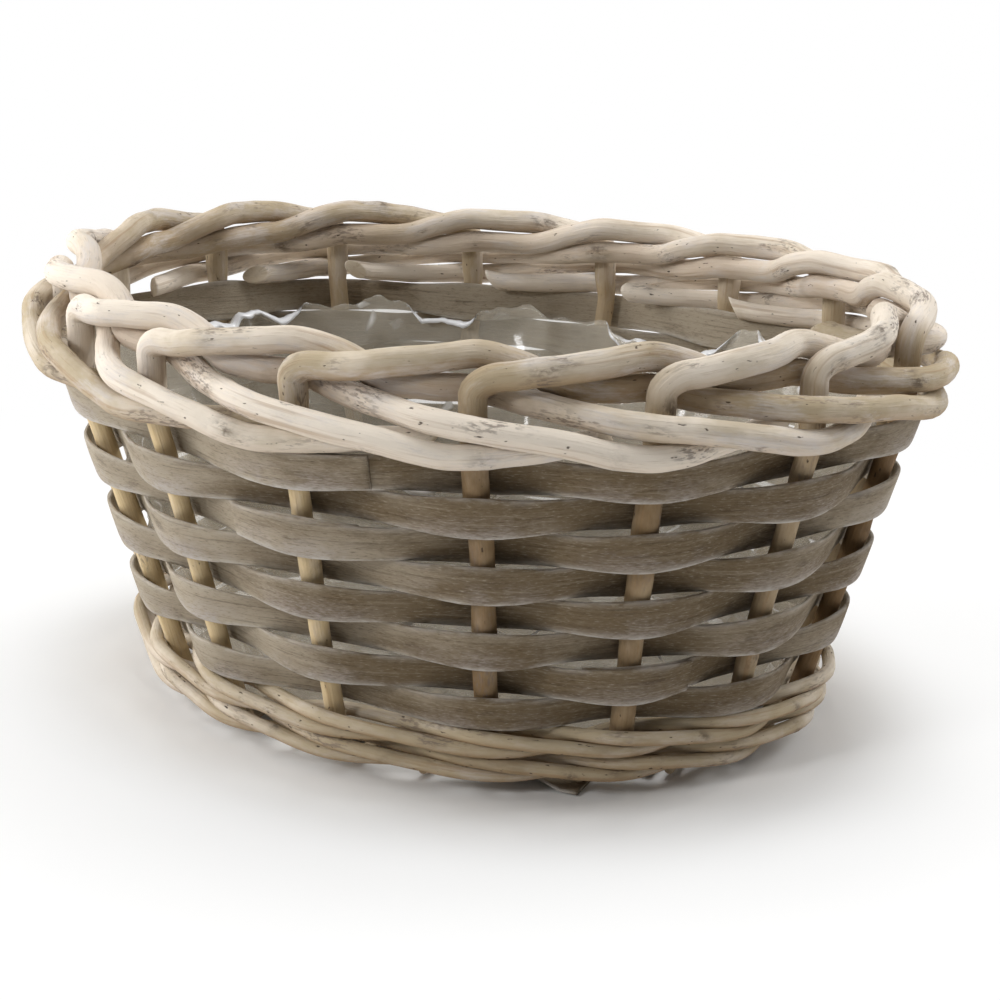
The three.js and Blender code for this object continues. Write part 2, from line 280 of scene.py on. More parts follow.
# How far out the outermost base sticks and strips lie, as shares of the foot's half sizes, and
# half the flat where a strip lies on a stick, as a share of the stick pitch
STICK_REACH_SHARE = 0.815
STRIP_REACH_SHARE = 0.76
STRIP_FLAT_SHARE = 0.16

# The floor: its corners to a ring, the rings' radii, and how far it lies under the base strips
FLOOR_SIDES = 64
FLOOR_RADII = [9.0, 2.0, 0.6, 0.3, 0.05]
FLOOR_DROP = 0.0004

# How the floor turns white: its stretch along and across, per metre, and on that scale two steps,
# each with its start, its end and its share of the white
FLOOR_STRETCH = (8.5, 10.9, 0)
FLOOR_STEPS = [(1.08, 1.6, 0.65), (1.5, 4.0, 0.35)]

# The camera: angles in radians, distance and target in metres, the sensor's width in
# millimetres, and the lens as a share of it
CAMERA_AZIMUTH = 0.4399
CAMERA_ELEVATION = 0.3078
CAMERA_ROLL = 0.0101
CAMERA_DISTANCE = 0.6358
CAMERA_TARGET = [0.01688, -0.01783, 0.072]
SENSOR_WIDTH = 36
LENS_SHARE = 1.8843

# The lamps: name, place and size in metres, and power in watts, then the point that they face
# and the strength of the sky
LAMPS = [
    ("key_lamp", (-0.55, -1.10, 0.70), 0.25, 5.0),
    ("left_lamp", (-1.14, -0.31, 0.50), 0.9, 13.5),
    ("right_lamp", (0.86, 0.86, 0.70), 0.9, 9.5),
    ("top_lamp", (0.10, 0.25, 1.40), 0.7, 11.5),
]
LAMP_TARGET = np.array([0.0, 0.0, 0.06])
SKY_STRENGTH = 0.2


def length(name, description, default, least):
    """A length in metres that a user may change, down to a least value."""
    return FloatProperty(
        name=name, description=description, default=default, min=least, unit="LENGTH")


class BasketSizes(bpy.types.PropertyGroup):
    """Driving sizes of the basket, as in its CAD part, but for a splint swell that is fuller here
    and a rod wander that is only here."""

    rim_half_length: length("Rim half length", "Half the wall's length at its top", 0.147, 0.05)
    rim_half_width: length("Rim half width", "Half the wall's width at its top", 0.122, 0.05)
    foot_half_length: length("Foot half length", "Half the wall's length at the ground", 0.114, 0.05)
    foot_half_width: length("Foot half width", "Half the wall's width at the ground", 0.088, 0.05)
    weave_gap: length("Weave gap", "Clearance between pieces that touch", 0.0003, 0.0)
    stake_foot_radius: length("Stake foot radius", "Radius of a stake at the foot", 0.0035, 0.001)
    stake_radius: length("Stake radius", "Radius of a stake at the top of the wall", 0.0038, 0.001)
    border_rod_radius: length(
        "Border rod radius", "Radius of a rod where it starts in the border", 0.004, 0.001)
    border_tip_radius: length("Border tip radius", "Radius of a rod at its cut tip", 0.0034, 0.001)
    border_clearance: length("Border clearance", "Room between rods in the border", 0.0003, 0.0)
    splint_height: length("Splint height", "Height of one flat wall splint", 0.0112, 0.002)
    splint_swell: length(
        "Splint swell", "How much taller a splint is where it passes a stake", 0.0026, 0.0)
    splint_thickness: length("Splint thickness", "Thickness of one flat wall splint", 0.0016, 0.0004)
    wale_rod_radius: length("Foot rod radius", "Radius of the thin rods round the foot", 0.002, 0.0005)
    wale_gap: length("Foot rod gap", "Clearance between the foot's rods", 0.00065, 0.0)
    base_stick_radius: length(
        "Base stick radius", "Radius of the round sticks across the base", 0.0018, 0.0005)
    base_stick_overhang: length(
        "Base stick overhang", "How far the sticks stand past the foot oval", 0.0005, 0.0)
    base_strip_width: length(
        "Base strip width", "Width of the flat strips along the base", 0.0195, 0.002)
    base_strip_thickness: length("Base strip thickness", "Thickness of the flat strips", 0.0013, 0.0004)
    base_strip_inset: length(
        "Base strip inset", "How far the strips' ends stay inside the foot oval", 0.004, 0.0)
    rod_wander: length("Rod wander", "How far a border rod strays from its even path", 0.0006, 0.0)
    base_strip_slide: length(
        "Base strip slide", "How far every other strip lies to the right", 0.005, 0.0)
    film_below_wall: length(
        "Film below wall", "Drop from the wall's top to the film's edge", 0.007, 0.0)
    film_clearance: length("Film clearance", "Room between the film and the wall", 0.0004, 0.0)


def colour(name, description, red, green, blue):
    """A colour property whose default is given in the 0 to 255 steps of a screen."""
    screen = np.array([red, green, blue]) / 255
    linear = np.where(screen <= 0.04045, screen / 12.92, ((screen + 0.055) / 1.055) ** 2.4)
    return FloatVectorProperty(
        name=name, description=description, subtype="COLOR", size=3, min=0.0, max=1.0,
        default=tuple(float(c) for c in linear))


class BasketColours(bpy.types.PropertyGroup):
    """Colours of the basket's finishes."""

    cream: colour("Cream rod", "Palest peeled willow", 232, 221, 206)
    straw: colour("Straw rod", "Palest willow below the border, with less whitewash", 225, 203, 160)
    tan: colour("Tan rod", "Darker peeled willow", 180, 164, 136)
    # Partly painted shade: this grey brown darkens the stakes below the border that lie in shade, and
    # in the darkest clouds of the foot and base rods it is their own tone
    weathered_and_shaded: colour("Weathered rod", "Grey brown willow low on the wall", 112, 94, 68)
    # Both a real tone and painted shade: brown streaks and fibres, and the painted shade on undersides,
    # in the border's hidden run and on stakes in shade
    bark_and_shade_tone: colour("Bark", "Orange brown left on the undersides", 146, 110, 70)
    wash: colour("Whitewash", "Thin grey white wash on the rods", 208, 201, 196)
    scuff: colour("Scuffs", "Grey scuffed patches on the rods", 118, 104, 94)
    knot: colour("Knots", "Dark knots, scars and specks", 74, 59, 46)
    splint: colour("Splint", "Grey brown stained splints", 107, 91, 68)
    splint_pale: colour("Pale splint", "Chalky grey splints", 166, 154, 135)
    splint_dark: colour("Dark splint", "Darker streaks of the splints", 70, 56, 40)
    haze: colour("Haze", "Violet grey bloom low on the splints' bulges", 174, 166, 163)
    chalk: colour("Chalk", "White left along the splints' edges", 216, 211, 205)
    film: colour("Film", "Hazy film where it lies flat", 222, 216, 202)
    # Painted highlight: white glints on the film's creases, and on its folded-over edge, where it also
    # stands for the doubled film
    glint: colour("Film glint", "White where the film is creased or folded", 246, 247, 250)
    backdrop: colour("Backdrop", "Pale floor", 244, 244, 243)


class Weave:
    """Heights and swings that follow from the sizes, as in the CAD part."""

    def __init__(self, sizes):
        self.sizes = sizes
        gap = sizes.weave_gap
        strip = sizes.base_strip_thickness
        self.stick_level = strip + gap + sizes.base_stick_radius
        self.strip_swing = sizes.base_stick_radius + gap + strip / 2
        self.base_top = self.stick_level + self.strip_swing + strip / 2
        self.wale_floor = self.stick_level + sizes.base_stick_radius + gap
        self.wale_pitch = 2 * sizes.wale_rod_radius + sizes.wale_gap
        self.wall_floor = self.wale_floor + WALE_ROUNDS * 2 * self.wale_pitch
        self.course_pitch = sizes.splint_height + gap
        self.wall_top = self.wall_floor + COURSES * self.course_pitch
        self.border_unit = 2 * sizes.border_rod_radius + sizes.border_clearance
        self.border_level = self.wall_top + sizes.border_tip_radius + sizes.border_clearance
        self.lean = np.arctan((sizes.rim_half_length - sizes.foot_half_length) / self.wall_top)
        self.stake_reach = (sizes.stake_radius + gap) / np.cos(self.lean)
        self.splint_swing = self.stake_reach + sizes.splint_thickness / 2
        self.wale_swing = self.stake_reach + sizes.wale_rod_radius
        self.stake_floor = self.wale_floor + sizes.stake_foot_radius * np.sin(self.lean)
        angles = np.linspace(0, 2 * np.pi, 3601)
        steps = np.hypot(
            np.diff(sizes.rim_half_length * np.cos(angles)),
            np.diff(sizes.rim_half_width * np.sin(angles)))
        lengths = np.concatenate([[0], np.cumsum(steps)])
        self.turn_table = (STAKES * lengths / lengths[-1], angles)

    def turn(self, stakes, rise):
        """Angle on the oval at a place round the wall, with the stakes' own shifts."""
        foot = among_stakes(FOOT_SHIFTS, stakes)
        shift = foot + (among_stakes(RIM_SHIFTS, stakes) - foot) * rise
        return np.interp((stakes + shift) % STAKES, *self.turn_table)

    def half_sizes(self, rise):
        """The oval's half length and half width, which grow evenly from the foot to the rim."""
        s = self.sizes
        half_length = s.foot_half_length + (s.rim_half_length - s.foot_half_length) * rise
        half_width = s.foot_half_width + (s.rim_half_width - s.foot_half_width) * rise
        return half_length, half_width

    def outward(self, stakes, height):
        """Level unit vector that points out of the wall, at a place and a height."""
        rise = np.minimum(height, self.wall_top) / self.wall_top
        angle = self.turn(stakes, rise)
        half_length, half_width = self.half_sizes(rise)
        return unit(np.stack(
            [np.cos(angle) / half_length, np.sin(angle) / half_width, 0 * angle * rise], -1))

    def point(self, stakes, out, height):
        """A point so many stake spacings round the wall's oval, whose half sizes grow evenly from
        the foot to the wall's top, moved level outward, at a height."""
        stakes, out, height = np.broadcast_arrays(stakes, out, height)
        rise = np.minimum(height, self.wall_top) / self.wall_top
        angle = self.turn(stakes, rise)
        lifted = height + among_stakes(RIM_LIFTS, stakes) * self.wall_top * rise
        half_length, half_width = self.half_sizes(rise)
        middle = np.stack([half_length * np.cos(angle), half_width * np.sin(angle), lifted], -1)
        return middle + out[..., None] * self.outward(stakes, height)


# Shape helpers

def among_stakes(values, stakes):
    """Smooth curve through the stakes' own values, read at any place round the wall: a cubic
    between two stakes whose slope at each is half the step between its neighbours."""
    whole = np.floor(stakes).astype(int)
    t = stakes - whole
    a, b, c, d = (np.asarray(values)[(whole + step) % STAKES] for step in (-1, 0, 1, 2))
    return b + t / 2 * (c - a + t * (2 * a - 5 * b + 4 * c - d + t * (3 * b - a - 3 * c + d)))


def soft_noise(at, seed, octaves=4):
    """Smooth noise from -1 to 1: sines of rising pitch and falling height, with seeded phases."""
    phases = np.random.default_rng(seed).random(octaves)
    pitches = 1.9 ** np.arange(octaves)
    waves = np.sin(2 * np.pi * (np.asarray(at)[..., None] * pitches + phases)) / pitches
    return waves.sum(-1) / (1 / pitches).sum()


def smooth_path(points, per_span):
    """Catmull-Rom curve through points: each span is a cubic whose slope at a point is half the
    step between the points on either side of it."""
    before = 2 * points[:1] - points[1:2]
    after = 2 * points[-1:] - points[-2:-1]
    padded = np.concatenate([before, points, after])
    spans = len(points) - 1
    p0, p1, p2, p3 = (padded[i:i + spans, None, :] for i in range(4))
    t = np.linspace(0, 1, per_span, endpoint=False)[None, :, None]
    curve = p1 + 0.5 * t * (
        p2 - p0 + t * (2 * p0 - 5 * p1 + 4 * p2 - p3 + t * (3 * p1 - p0 - 3 * p2 + p3)))
    return np.concatenate([curve.reshape(-1, points.shape[1]), points[-1:]])


def run_along(points):
    """How far along a line each of its points is: the lengths of the spans before it, summed."""
    spans = np.linalg.norm(np.diff(points, axis=0), axis=1)
    return np.concatenate([[0], np.cumsum(spans)])


def even_steps(centre, columns, step):
    """Places at even steps along a line, and other columns of numbers carried to them."""
    run = run_along(centre)
    at = np.linspace(0, run[-1], int(run[-1] / step) + 2)
    table = np.concatenate([centre, columns], axis=1)
    carried = np.stack([np.interp(at, run, column) for column in table.T], -1)
    return at, carried[:, :3], carried[:, 3:]


def unit(vectors):
    """The vectors, each shortened or grown to length one."""
    return vectors / np.linalg.norm(vectors, axis=-1, keepdims=True)


def rings_along(centre, across_hint, offsets_across, offsets_other):
    """Carries a closed outline along a line. At each place the outline's first direction is the
    hint with its part along the line taken out, and the second is at right angles to both."""
    along = unit(np.gradient(centre, axis=0))
    hint = across_hint - (across_hint * along).sum(-1, keepdims=True) * along
    across = unit(hint)
    other = np.cross(along, across)
    rings = (
        centre[:, None, :]
        + offsets_across[..., None] * across[:, None, :]
        + offsets_other[..., None] * other[:, None, :])
    return rings, along


def rod_shape(weave, centre, stakes, radii, seed, sides, step, knot_spacing, slants=(0.0, 0.0)):
    """A peeled rod: rings at even steps round a line, whose radius swells at its knots and wanders
    a little. Its cut ends slant by shares of its radius. Gives the rings and the layers that its
    finish reads."""
    at, centre, carried = even_steps(centre, np.stack([stakes, radii], -1), step)
    stakes, radii = carried.T
    draw = np.random.default_rng(seed)
    turn = 2 * np.pi * np.arange(sides) / sides
    count = max(int(at[-1] / knot_spacing), 1)
    places = (np.arange(count) + 0.5 + KNOT_JITTER * (draw.random(count) - 0.5)) * at[-1] / count
    sides_of_knot = draw.random(count) * 2 * np.pi
    away = (at[:, None] - places) / (KNOT_LENGTH_SHARE * radii.mean())
    ring_swell = np.exp(-away ** 2)
    facing = np.cos(turn[None, None, :] - sides_of_knot[None, :, None])
    bud = np.exp(-((away - BUD_SHIFT) / BUD_LENGTH) ** 2)[..., None]
    bud = bud * np.exp(-((1 - facing) / BUD_WIDTH))
    twist = OVAL_TWIST * soft_noise(at * OVAL_PITCH, seed + 1)[:, None]
    oval = OVAL_SHARE * np.cos(2 * turn[None, :] + twist)
    bumps = soft_noise(at[:, None] * BUMP_PITCH + BUMP_TURN * np.sin(turn)[None, :], seed + 3)
    swell = (
        1 + WANDER_SHARE * soft_noise(at * WANDER_PITCH, seed + 2)[:, None] + oval
        + KNOT_SWELL_SHARE * ring_swell.sum(1)[:, None] + BUD_SWELL_SHARE * bud.sum(1)
        + BUMP_SHARE * bumps)
    size = radii[:, None] * swell
    hint = weave.outward(stakes, centre[:, 2])
    rings, along = rings_along(centre, hint, size * np.cos(turn), size * np.sin(turn))
    slanted = CUT_LENGTH_SHARE * radii.mean()
    near_start = np.clip(1 - at / slanted, 0, 1) ** 2
    near_end = np.clip(1 - (at[-1] - at) / slanted, 0, 1) ** 2
    high_sides = 1 + np.cos(turn - draw.random(2)[:, None] * 6)
    tilt_start = slants[0] * radii[0] * near_start[:, None] * high_sides[0]
    tilt_end = slants[1] * radii[-1] * near_end[:, None] * high_sides[1]
    rings = rings + (tilt_start - tilt_end)[..., None] * along[:, None, :]
    grain = np.stack(
        [size * np.cos(turn), size * np.sin(turn), np.repeat(at[:, None], sides, 1)], -1)
    layers = {
        "grain": grain + draw.random(3) * 3,
        "knot": np.clip(ring_swell.sum(1)[:, None] * 0.25 + bud.sum(1), 0, 1),
        "run": np.repeat((at / at[-1])[:, None], sides, 1),
    }
    return with_cut_ends(rings, along, layers, radii)


def with_cut_ends(rings, along, layers, radii):
    """Adds two smaller rings at each end, so that the cut has a worn edge and a flat face. The
    layer called cut is 1 on the face and 0 along the rod."""
    shrink = [0.86, 0.45]
    reach = [0.07, 0.08]
    first, last = rings[:1], rings[-1:]
    middle_first, middle_last = first.mean(1, keepdims=True), last.mean(1, keepdims=True)
    starts = [
        middle_first + s * (first - middle_first) - r * radii[0] * along[0]
        for s, r in zip(shrink, reach)]
    ends = [
        middle_last + s * (last - middle_last) + r * radii[-1] * along[-1]
        for s, r in zip(shrink, reach)]
    rings = np.concatenate([starts[1], starts[0], rings, ends[0], ends[1]])
    grown = {
        name: np.concatenate([values[:1], values[:1], values, values[-1:], values[-1:]])
        for name, values in layers.items()}
    cut = np.zeros(rings.shape[:2])
    cut[:2] = 1
    cut[-2:] = 1
    grown["cut"] = cut
    return rings, grown


def ring_faces(count, sides):
    """Four sided faces between rings with equal numbers of points, each joined to the next."""
    here = np.arange(count - 1)[:, None] * sides
    j = np.arange(sides)[None, :]
    beside = (j + 1) % sides
    onward = here + sides
    return np.stack([here + j, here + beside, onward + beside, onward + j], -1).reshape(-1, 4).tolist()


def skin(rings):
    """Corners and faces over a row of rings, facing out, closed at both ends by a fan round a
    middle point."""
    count, sides = rings.shape[:2]
    corners = np.concatenate(
        [rings.reshape(-1, 3), rings[0].mean(0)[None], rings[-1].mean(0)[None]])
    first_pole = count * sides
    last = (count - 1) * sides
    j = np.arange(sides)
    k = (j + 1) % sides
    faces = ring_faces(count, sides)
    faces += np.stack([0 * j + first_pole, k, j], -1).tolist()
    faces += np.stack([0 * j + first_pole + 1, last + j, last + k], -1).tolist()
    return corners, faces


def add_piece(name, rings, layers, material, nodes):
    """Makes one piece from rings, writes its layers as attributes, and sets it on the frame."""
    corners, faces = skin(rings)
    sides = rings.shape[1]
    mesh = bpy.data.meshes.new(name)
    mesh.from_pydata(corners.tolist(), [], faces)
    mesh.polygons.foreach_set("use_smooth", np.ones(len(mesh.polygons), bool))
    mesh.update()
    for layer, values in layers.items():
        flat = values.reshape(-1, values.shape[-1]) if values.ndim == 3 else values.reshape(-1, 1)
        poles = [flat[:sides].mean(0)[None], flat[-sides:].mean(0)[None]]
        flat = np.concatenate([flat] + poles)
        vector = flat.shape[1] == 3
        attribute = mesh.attributes.new(layer, "FLOAT_VECTOR" if vector else "FLOAT", "POINT")
        attribute.data.foreach_set("vector" if vector else "value", flat.astype(np.float32).ravel())
    mesh.materials.append(material)
    piece = bpy.data.objects.new(name, mesh)
    bpy.context.scene.collection.objects.link(piece)
    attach(piece, "root")
    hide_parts(*nodes)
    return piece


# Material helpers

class Board:
    """Adds shader nodes to a new material and joins them."""

    def __init__(self, name):
        self.material = bpy.data.materials.new(name)
        self.material.use_nodes = True
        self.tree = self.material.node_tree
        self.shader = self.tree.nodes["Principled BSDF"]

    def node(self, kind, inputs=None, **settings):
        """A node of a kind, with its settings, and its inputs joined or set."""
        made = self.tree.nodes.new(kind)
        for key, value in settings.items():
            setattr(made, key, value)
        for key, value in (inputs or {}).items():
            self.feed(made.inputs[key], value)
        return made

    def feed(self, socket, value):
        """Joins a socket to another, or sets its value."""
        if isinstance(value, bpy.types.NodeSocket):
            self.tree.links.new(value, socket)
        elif hasattr(socket.default_value, "__len__") and len(socket.default_value) == 4:
            socket.default_value = (*tuple(value)[:3], 1.0)
        else:
            socket.default_value = value

    def layer(self, name, vector=False):
        """One of the piece's own attributes."""
        made = self.node("ShaderNodeAttribute", attribute_name=name)
        return made.outputs["Vector" if vector else "Fac"]

    def stretch(self, vector, x, y, z):
        """A vector with its parts multiplied."""
        made = self.node("ShaderNodeVectorMath", operation="MULTIPLY")
        self.feed(made.inputs[0], vector)
        made.inputs[1].default_value = (x, y, z)
        return made.outputs["Vector"]

    def noise(self, vector, stretch, scale, detail, roughness):
        """Cloudy noise from 0 to 1 on a vector whose parts are multiplied by the stretch, so that
        it is long where the stretch is small."""
        vector = self.stretch(vector, *stretch)
        inputs = {"Vector": vector, "Scale": scale, "Detail": detail, "Roughness": roughness}
        return self.node("ShaderNodeTexNoise", inputs).outputs["Fac"]

    def spread(self, value, low, high, to_low=0.0, to_high=1.0):
        """A value's range from low to high, spread smoothly over another range."""
        inputs = {
            "Value": value, "From Min": low, "From Max": high, "To Min": to_low, "To Max": to_high}
        made = self.node("ShaderNodeMapRange", inputs, interpolation_type="SMOOTHSTEP")
        return made.outputs["Result"]

    def maths(self, operation, first, second=0.0):
        """One sum on two values."""
        made = self.node("ShaderNodeMath", operation=operation)
        self.feed(made.inputs[0], first)
        self.feed(made.inputs[1], second)
        return made.outputs[0]

    def times(self, first, second):
        """The product of two values."""
        return self.maths("MULTIPLY", first, second)

    def mix(self, share, first, second):
        """Two colours mixed by a share."""
        made = self.node("ShaderNodeMix", data_type="RGBA")
        self.feed(made.inputs["Factor"], share)
        self.feed(made.inputs[6], first)
        self.feed(made.inputs[7], second)
        return made.outputs[2]

    def coat(self, base, value, low, high, share, tone):
        """A colour laid over a base where a value nears high, by up to a share."""
        return self.mix(self.spread(value, low, high, 0.0, share), base, tone)

    def bump(self, height, distance, strength):
        """Joins a height to the shader's normal."""
        inputs = {"Height": height, "Distance": distance, "Strength": strength}
        made = self.node("ShaderNodeBump", inputs)
        self.tree.links.new(made.outputs["Normal"], self.shader.inputs["Normal"])


def rod_finish(name, colours, bark_and_shade_share, speck_lift):
    """Peeled willow: cream, straw, tan or a grey brown by its layers and soft clouds, partly as painted
    light, with lit rods paler and shaded stakes darker; with fine fibres and longer streaks along it,
    thin whitewash, grey scuffs of dark flecks, orange brown on its undersides that is partly its own
    skin and partly painted shade, dark knots and specks, and tan cut ends."""
    board = Board(name)
    grain = board.layer("grain", vector=True)
    fibres = board.noise(grain, (1, 1, 0.05), 1700, 4, 0.65)
    streaks = board.noise(grain, (1, 1, 0.03), 420, 3, 0.6)
    clouds = board.noise(grain, (1, 1, 0.55), 70, 4, 0.6)
    wash_clouds = board.noise(grain, (1.1, 0.9, 0.3), 110, 5, 0.7)
    cloud_lift = board.spread(clouds, 0.3, 0.7, -0.3, 0.3)
    paleness = board.maths("ADD", board.layer("paleness"), cloud_lift)
    creamy = board.spread(board.layer("washed"), WALL_WASH, FOOT_WASH)
    palest = board.mix(creamy, colours.straw, colours.cream)
    # Partly painted light: the paleness layer sets lit rods paler and shaded stakes down to the grey
    # brown of painted shade
    base = board.mix(board.spread(paleness, 0.0, 1.0), colours.tan, palest)
    base = board.mix(board.spread(paleness, -0.9, 0.0), colours.weathered_and_shaded, base)
    base = board.coat(base, streaks, 0.54, 0.72, 0.45, colours.bark_and_shade_tone)
    # Painted shade mixed with the rods' own brown skin: the undersides, the hidden border run and the
    # stakes set brown in shade take this brown
    under_share = board.spread(clouds, 0.25, 0.6, 0.45, 1.0)
    under = board.times(board.layer("under"), under_share)
    base = board.mix(board.times(under, bark_and_shade_share), base, colours.bark_and_shade_tone)
    wash = board.spread(wash_clouds, 0.48, 0.66, 0.0, 0.75)
    wash = board.times(wash, board.spread(fibres, 0.3, 0.6, 0.35, 1.0))
    wash = board.times(wash, board.spread(paleness, -0.7, 0.2, 0.25, 1.0))
    wash = board.times(wash, board.layer("washed"))
    base = board.mix(wash, base, colours.wash)
    base = board.coat(base, fibres, 0.56, 0.78, 0.4, colours.bark_and_shade_tone)
    scuff_area = board.noise(grain, (1, 0.8, 0.3), 105, 3, 0.6)
    scuff_flecks = board.noise(grain, (1, 1, 0.3), 1150, 3, 0.6)
    scuffs = board.times(
        board.spread(scuff_area, 0.54, 0.66), board.spread(scuff_flecks, 0.46, 0.6))
    base = board.mix(board.times(scuffs, 0.7), base, colours.scuff)
    specks = board.noise(grain, (1, 1, 0.4), 700, 2, 0.5)
    speck_share = board.spread(specks, 0.70 - speck_lift, 0.76 - speck_lift, 0.0, 0.9)
    base = board.mix(speck_share, base, colours.knot)
    scars = board.noise(grain, (1, 1, 0.6), 260, 4, 0.7)
    knots = board.times(board.layer("knot"), board.spread(scars, 0.42, 0.6, 0.15, 1.0))
    base = board.mix(board.times(knots, 0.75), base, colours.knot)
    base = board.mix(board.times(board.layer("cut"), 0.6), base, colours.tan)
    board.feed(board.shader.inputs["Base Color"], base)
    board.feed(board.shader.inputs["Roughness"], board.spread(fibres, 0.2, 0.8, 0.62, 0.85))
    board.shader.inputs["Specular IOR Level"].default_value = 0.25
    height = board.maths("ADD", fibres, board.times(streaks, 1.2))
    height = board.maths("SUBTRACT", height, board.times(speck_share, 0.6))
    board.bump(height, 0.0004, 0.9)
    return board.material


def splint_finish(name, colours):
    """Stained splints: grey brown to chalky grey round the wall, partly as painted light, paler on the
    lit left and darker in shade, with short level fibres, long darker and paler streaks, soft stains,
    a violet bloom low on the bulges, and chalk on the edges."""
    board = Board(name)
    grain = board.layer("grain", vector=True)
    fine = board.noise(grain, (0.2, 1, 1), 2300, 4, 0.65)
    lines = board.noise(grain, (0.035, 1, 1), 1000, 4, 0.65)
    clouds = board.noise(grain, (0.4, 1, 1), 55, 4, 0.6)
    stains = board.noise(grain, (0.4, 1, 1), 160, 5, 0.7)
    patches = board.noise(grain, (0.6, 1, 1), 95, 4, 0.65)
    cloud_lift = board.spread(clouds, 0.3, 0.7, -0.3, 0.3)
    shade = board.maths("ADD", board.layer("paleness"), cloud_lift)
    # Partly painted light: the paleness layer makes the lit left splints paler and the shaded right
    # ones browner
    base = board.mix(board.spread(shade, 0.0, 1.0), colours.splint, colours.splint_pale)
    base = board.coat(base, lines, 0.5, 0.72, 0.45, colours.splint_dark)
    base = board.coat(base, lines, 0.48, 0.3, 0.3, colours.splint_pale)
    base = board.coat(base, stains, 0.54, 0.72, 0.5, colours.splint_dark)
    base = board.coat(base, fine, 0.54, 0.72, 0.55, colours.splint_dark)
    base = board.coat(base, fine, 0.46, 0.3, 0.5, colours.splint_pale)
    haze = board.times(board.layer("haze"), board.spread(patches, 0.38, 0.58, 0.1, 1.0))
    haze = board.times(haze, board.spread(fine, 0.62, 0.42, 0.35, 1.0))
    base = board.mix(haze, base, colours.haze)
    chalk = board.times(board.layer("edge"), board.spread(stains, 0.38, 0.58, 0.1, 1.0))
    base = board.mix(board.times(chalk, 0.75), base, colours.chalk)
    board.feed(board.shader.inputs["Base Color"], base)
    board.feed(board.shader.inputs["Roughness"], board.spread(fine, 0.2, 0.8, 0.72, 0.9))
    board.shader.inputs["Specular IOR Level"].default_value = 0.25
    board.bump(board.maths("ADD", fine, lines), 0.0004, 0.9)
    return board.material


def film_finish(name, colours):
    """Hazy film: a grey veil where it lies flat, with painted glints: long thin broken lines of painted
    reflection on the creases of its wall, a few small painted highlight spots near its edge, and a
    white painted highlight where its edge folds over, which also stands for the doubled film there."""
    board = Board(name)
    grain = board.layer("grain", vector=True)
    waves = board.noise(grain, (0.45, 1, 1), 24, 2, 0.5)
    ridge = board.maths("ABSOLUTE", board.maths("SUBTRACT", waves, 0.5))
    broken = board.spread(board.noise(grain, (1, 1, 1), 45, 1, 0.5), 0.5, 0.58)
    # Painted reflections: thin broken bright lines along creases on the film's wall
    line = board.times(board.spread(ridge, 0.002, 0.008, 0.8, 0.0), broken)
    line = board.times(line, board.layer("upright"))
    # Painted highlights: a few small spots on the creases near the edge
    spots = board.noise(grain, (0.6, 1, 1), 130, 2, 0.5)
    spots = board.times(board.layer("crease"), board.spread(spots, 0.62, 0.7))
    # Painted highlight on the folded-over edge, which also stands for the doubled film there
    streaks = board.noise(grain, (0.22, 1, 1), 190, 3, 0.6)
    fold = board.times(board.layer("fold"), board.spread(streaks, 0.38, 0.5))
    glint = board.maths("MAXIMUM", board.maths("MAXIMUM", line, spots), fold)
    # The painted glints are whiter and less clear than the film
    board.feed(board.shader.inputs["Base Color"], board.mix(glint, colours.film, colours.glint))
    board.feed(board.shader.inputs["Alpha"], board.spread(glint, 0.0, 1.0, 0.28, 0.92))
    board.shader.inputs["Roughness"].default_value = 0.14
    board.shader.inputs["IOR"].default_value = 1.5
    board.shader.inputs["Specular IOR Level"].default_value = 0.7
    return board.material


def backdrop_finish(name, colours):
    """A pale floor that keeps the shadow near the basket and fades to white further out."""
    board = Board(name)
    tree = board.tree
    place = board.node("ShaderNodeTexCoord").outputs["Object"]
    flat = board.stretch(place, *FLOOR_STRETCH)
    away = board.node("ShaderNodeVectorMath", {0: flat}, operation="LENGTH").outputs["Value"]
    steps = [board.spread(away, start, end, 0.0, share) for start, end, share in FLOOR_STEPS]
    whiteness = board.maths("ADD", *steps)
    path = board.node("ShaderNodeLightPath")
    seen = board.maths("MAXIMUM", path.outputs["Is Camera Ray"], path.outputs["Is Glossy Ray"])
    seen = board.maths("MAXIMUM", seen, path.outputs["Is Transmission Ray"])
    share = board.times(seen, whiteness)
    board.feed(board.shader.inputs["Base Color"], colours.backdrop)
    board.shader.inputs["Roughness"].default_value = 1.0
    board.shader.inputs["Specular IOR Level"].default_value = 0.0
    glow = board.node("ShaderNodeEmission", {"Color": (1, 1, 1), "Strength": 1.0})
    blend = board.node("ShaderNodeMixShader", {0: share})
    tree.links.new(board.shader.outputs[0], blend.inputs[1])
    tree.links.new(glow.outputs[0], blend.inputs[2])
    output = tree.nodes["Material Output"]
    tree.links.new(blend.outputs[0], output.inputs["Surface"])
    return board.material


def finish_named(name, maker, *words):
    """A material by name, made on first use."""
    return bpy.data.materials.get(name) or maker(name, *words)


# The undersides found here get painted shade, mixed with the rods' own brown skin
def underside(rings):
    """How far each point of a round piece faces the ground, from 0 to 1, by the place of the point
    below its ring's middle."""
    middle = rings.mean(1, keepdims=True)
    direction = unit(rings - middle + 1e-9)
    return np.clip(0.15 - direction[..., 2], 0, 1)


def level_layer(rings, value):
    """One value at every point."""
    return np.full(rings.shape[:2], float(value))


# The pieces

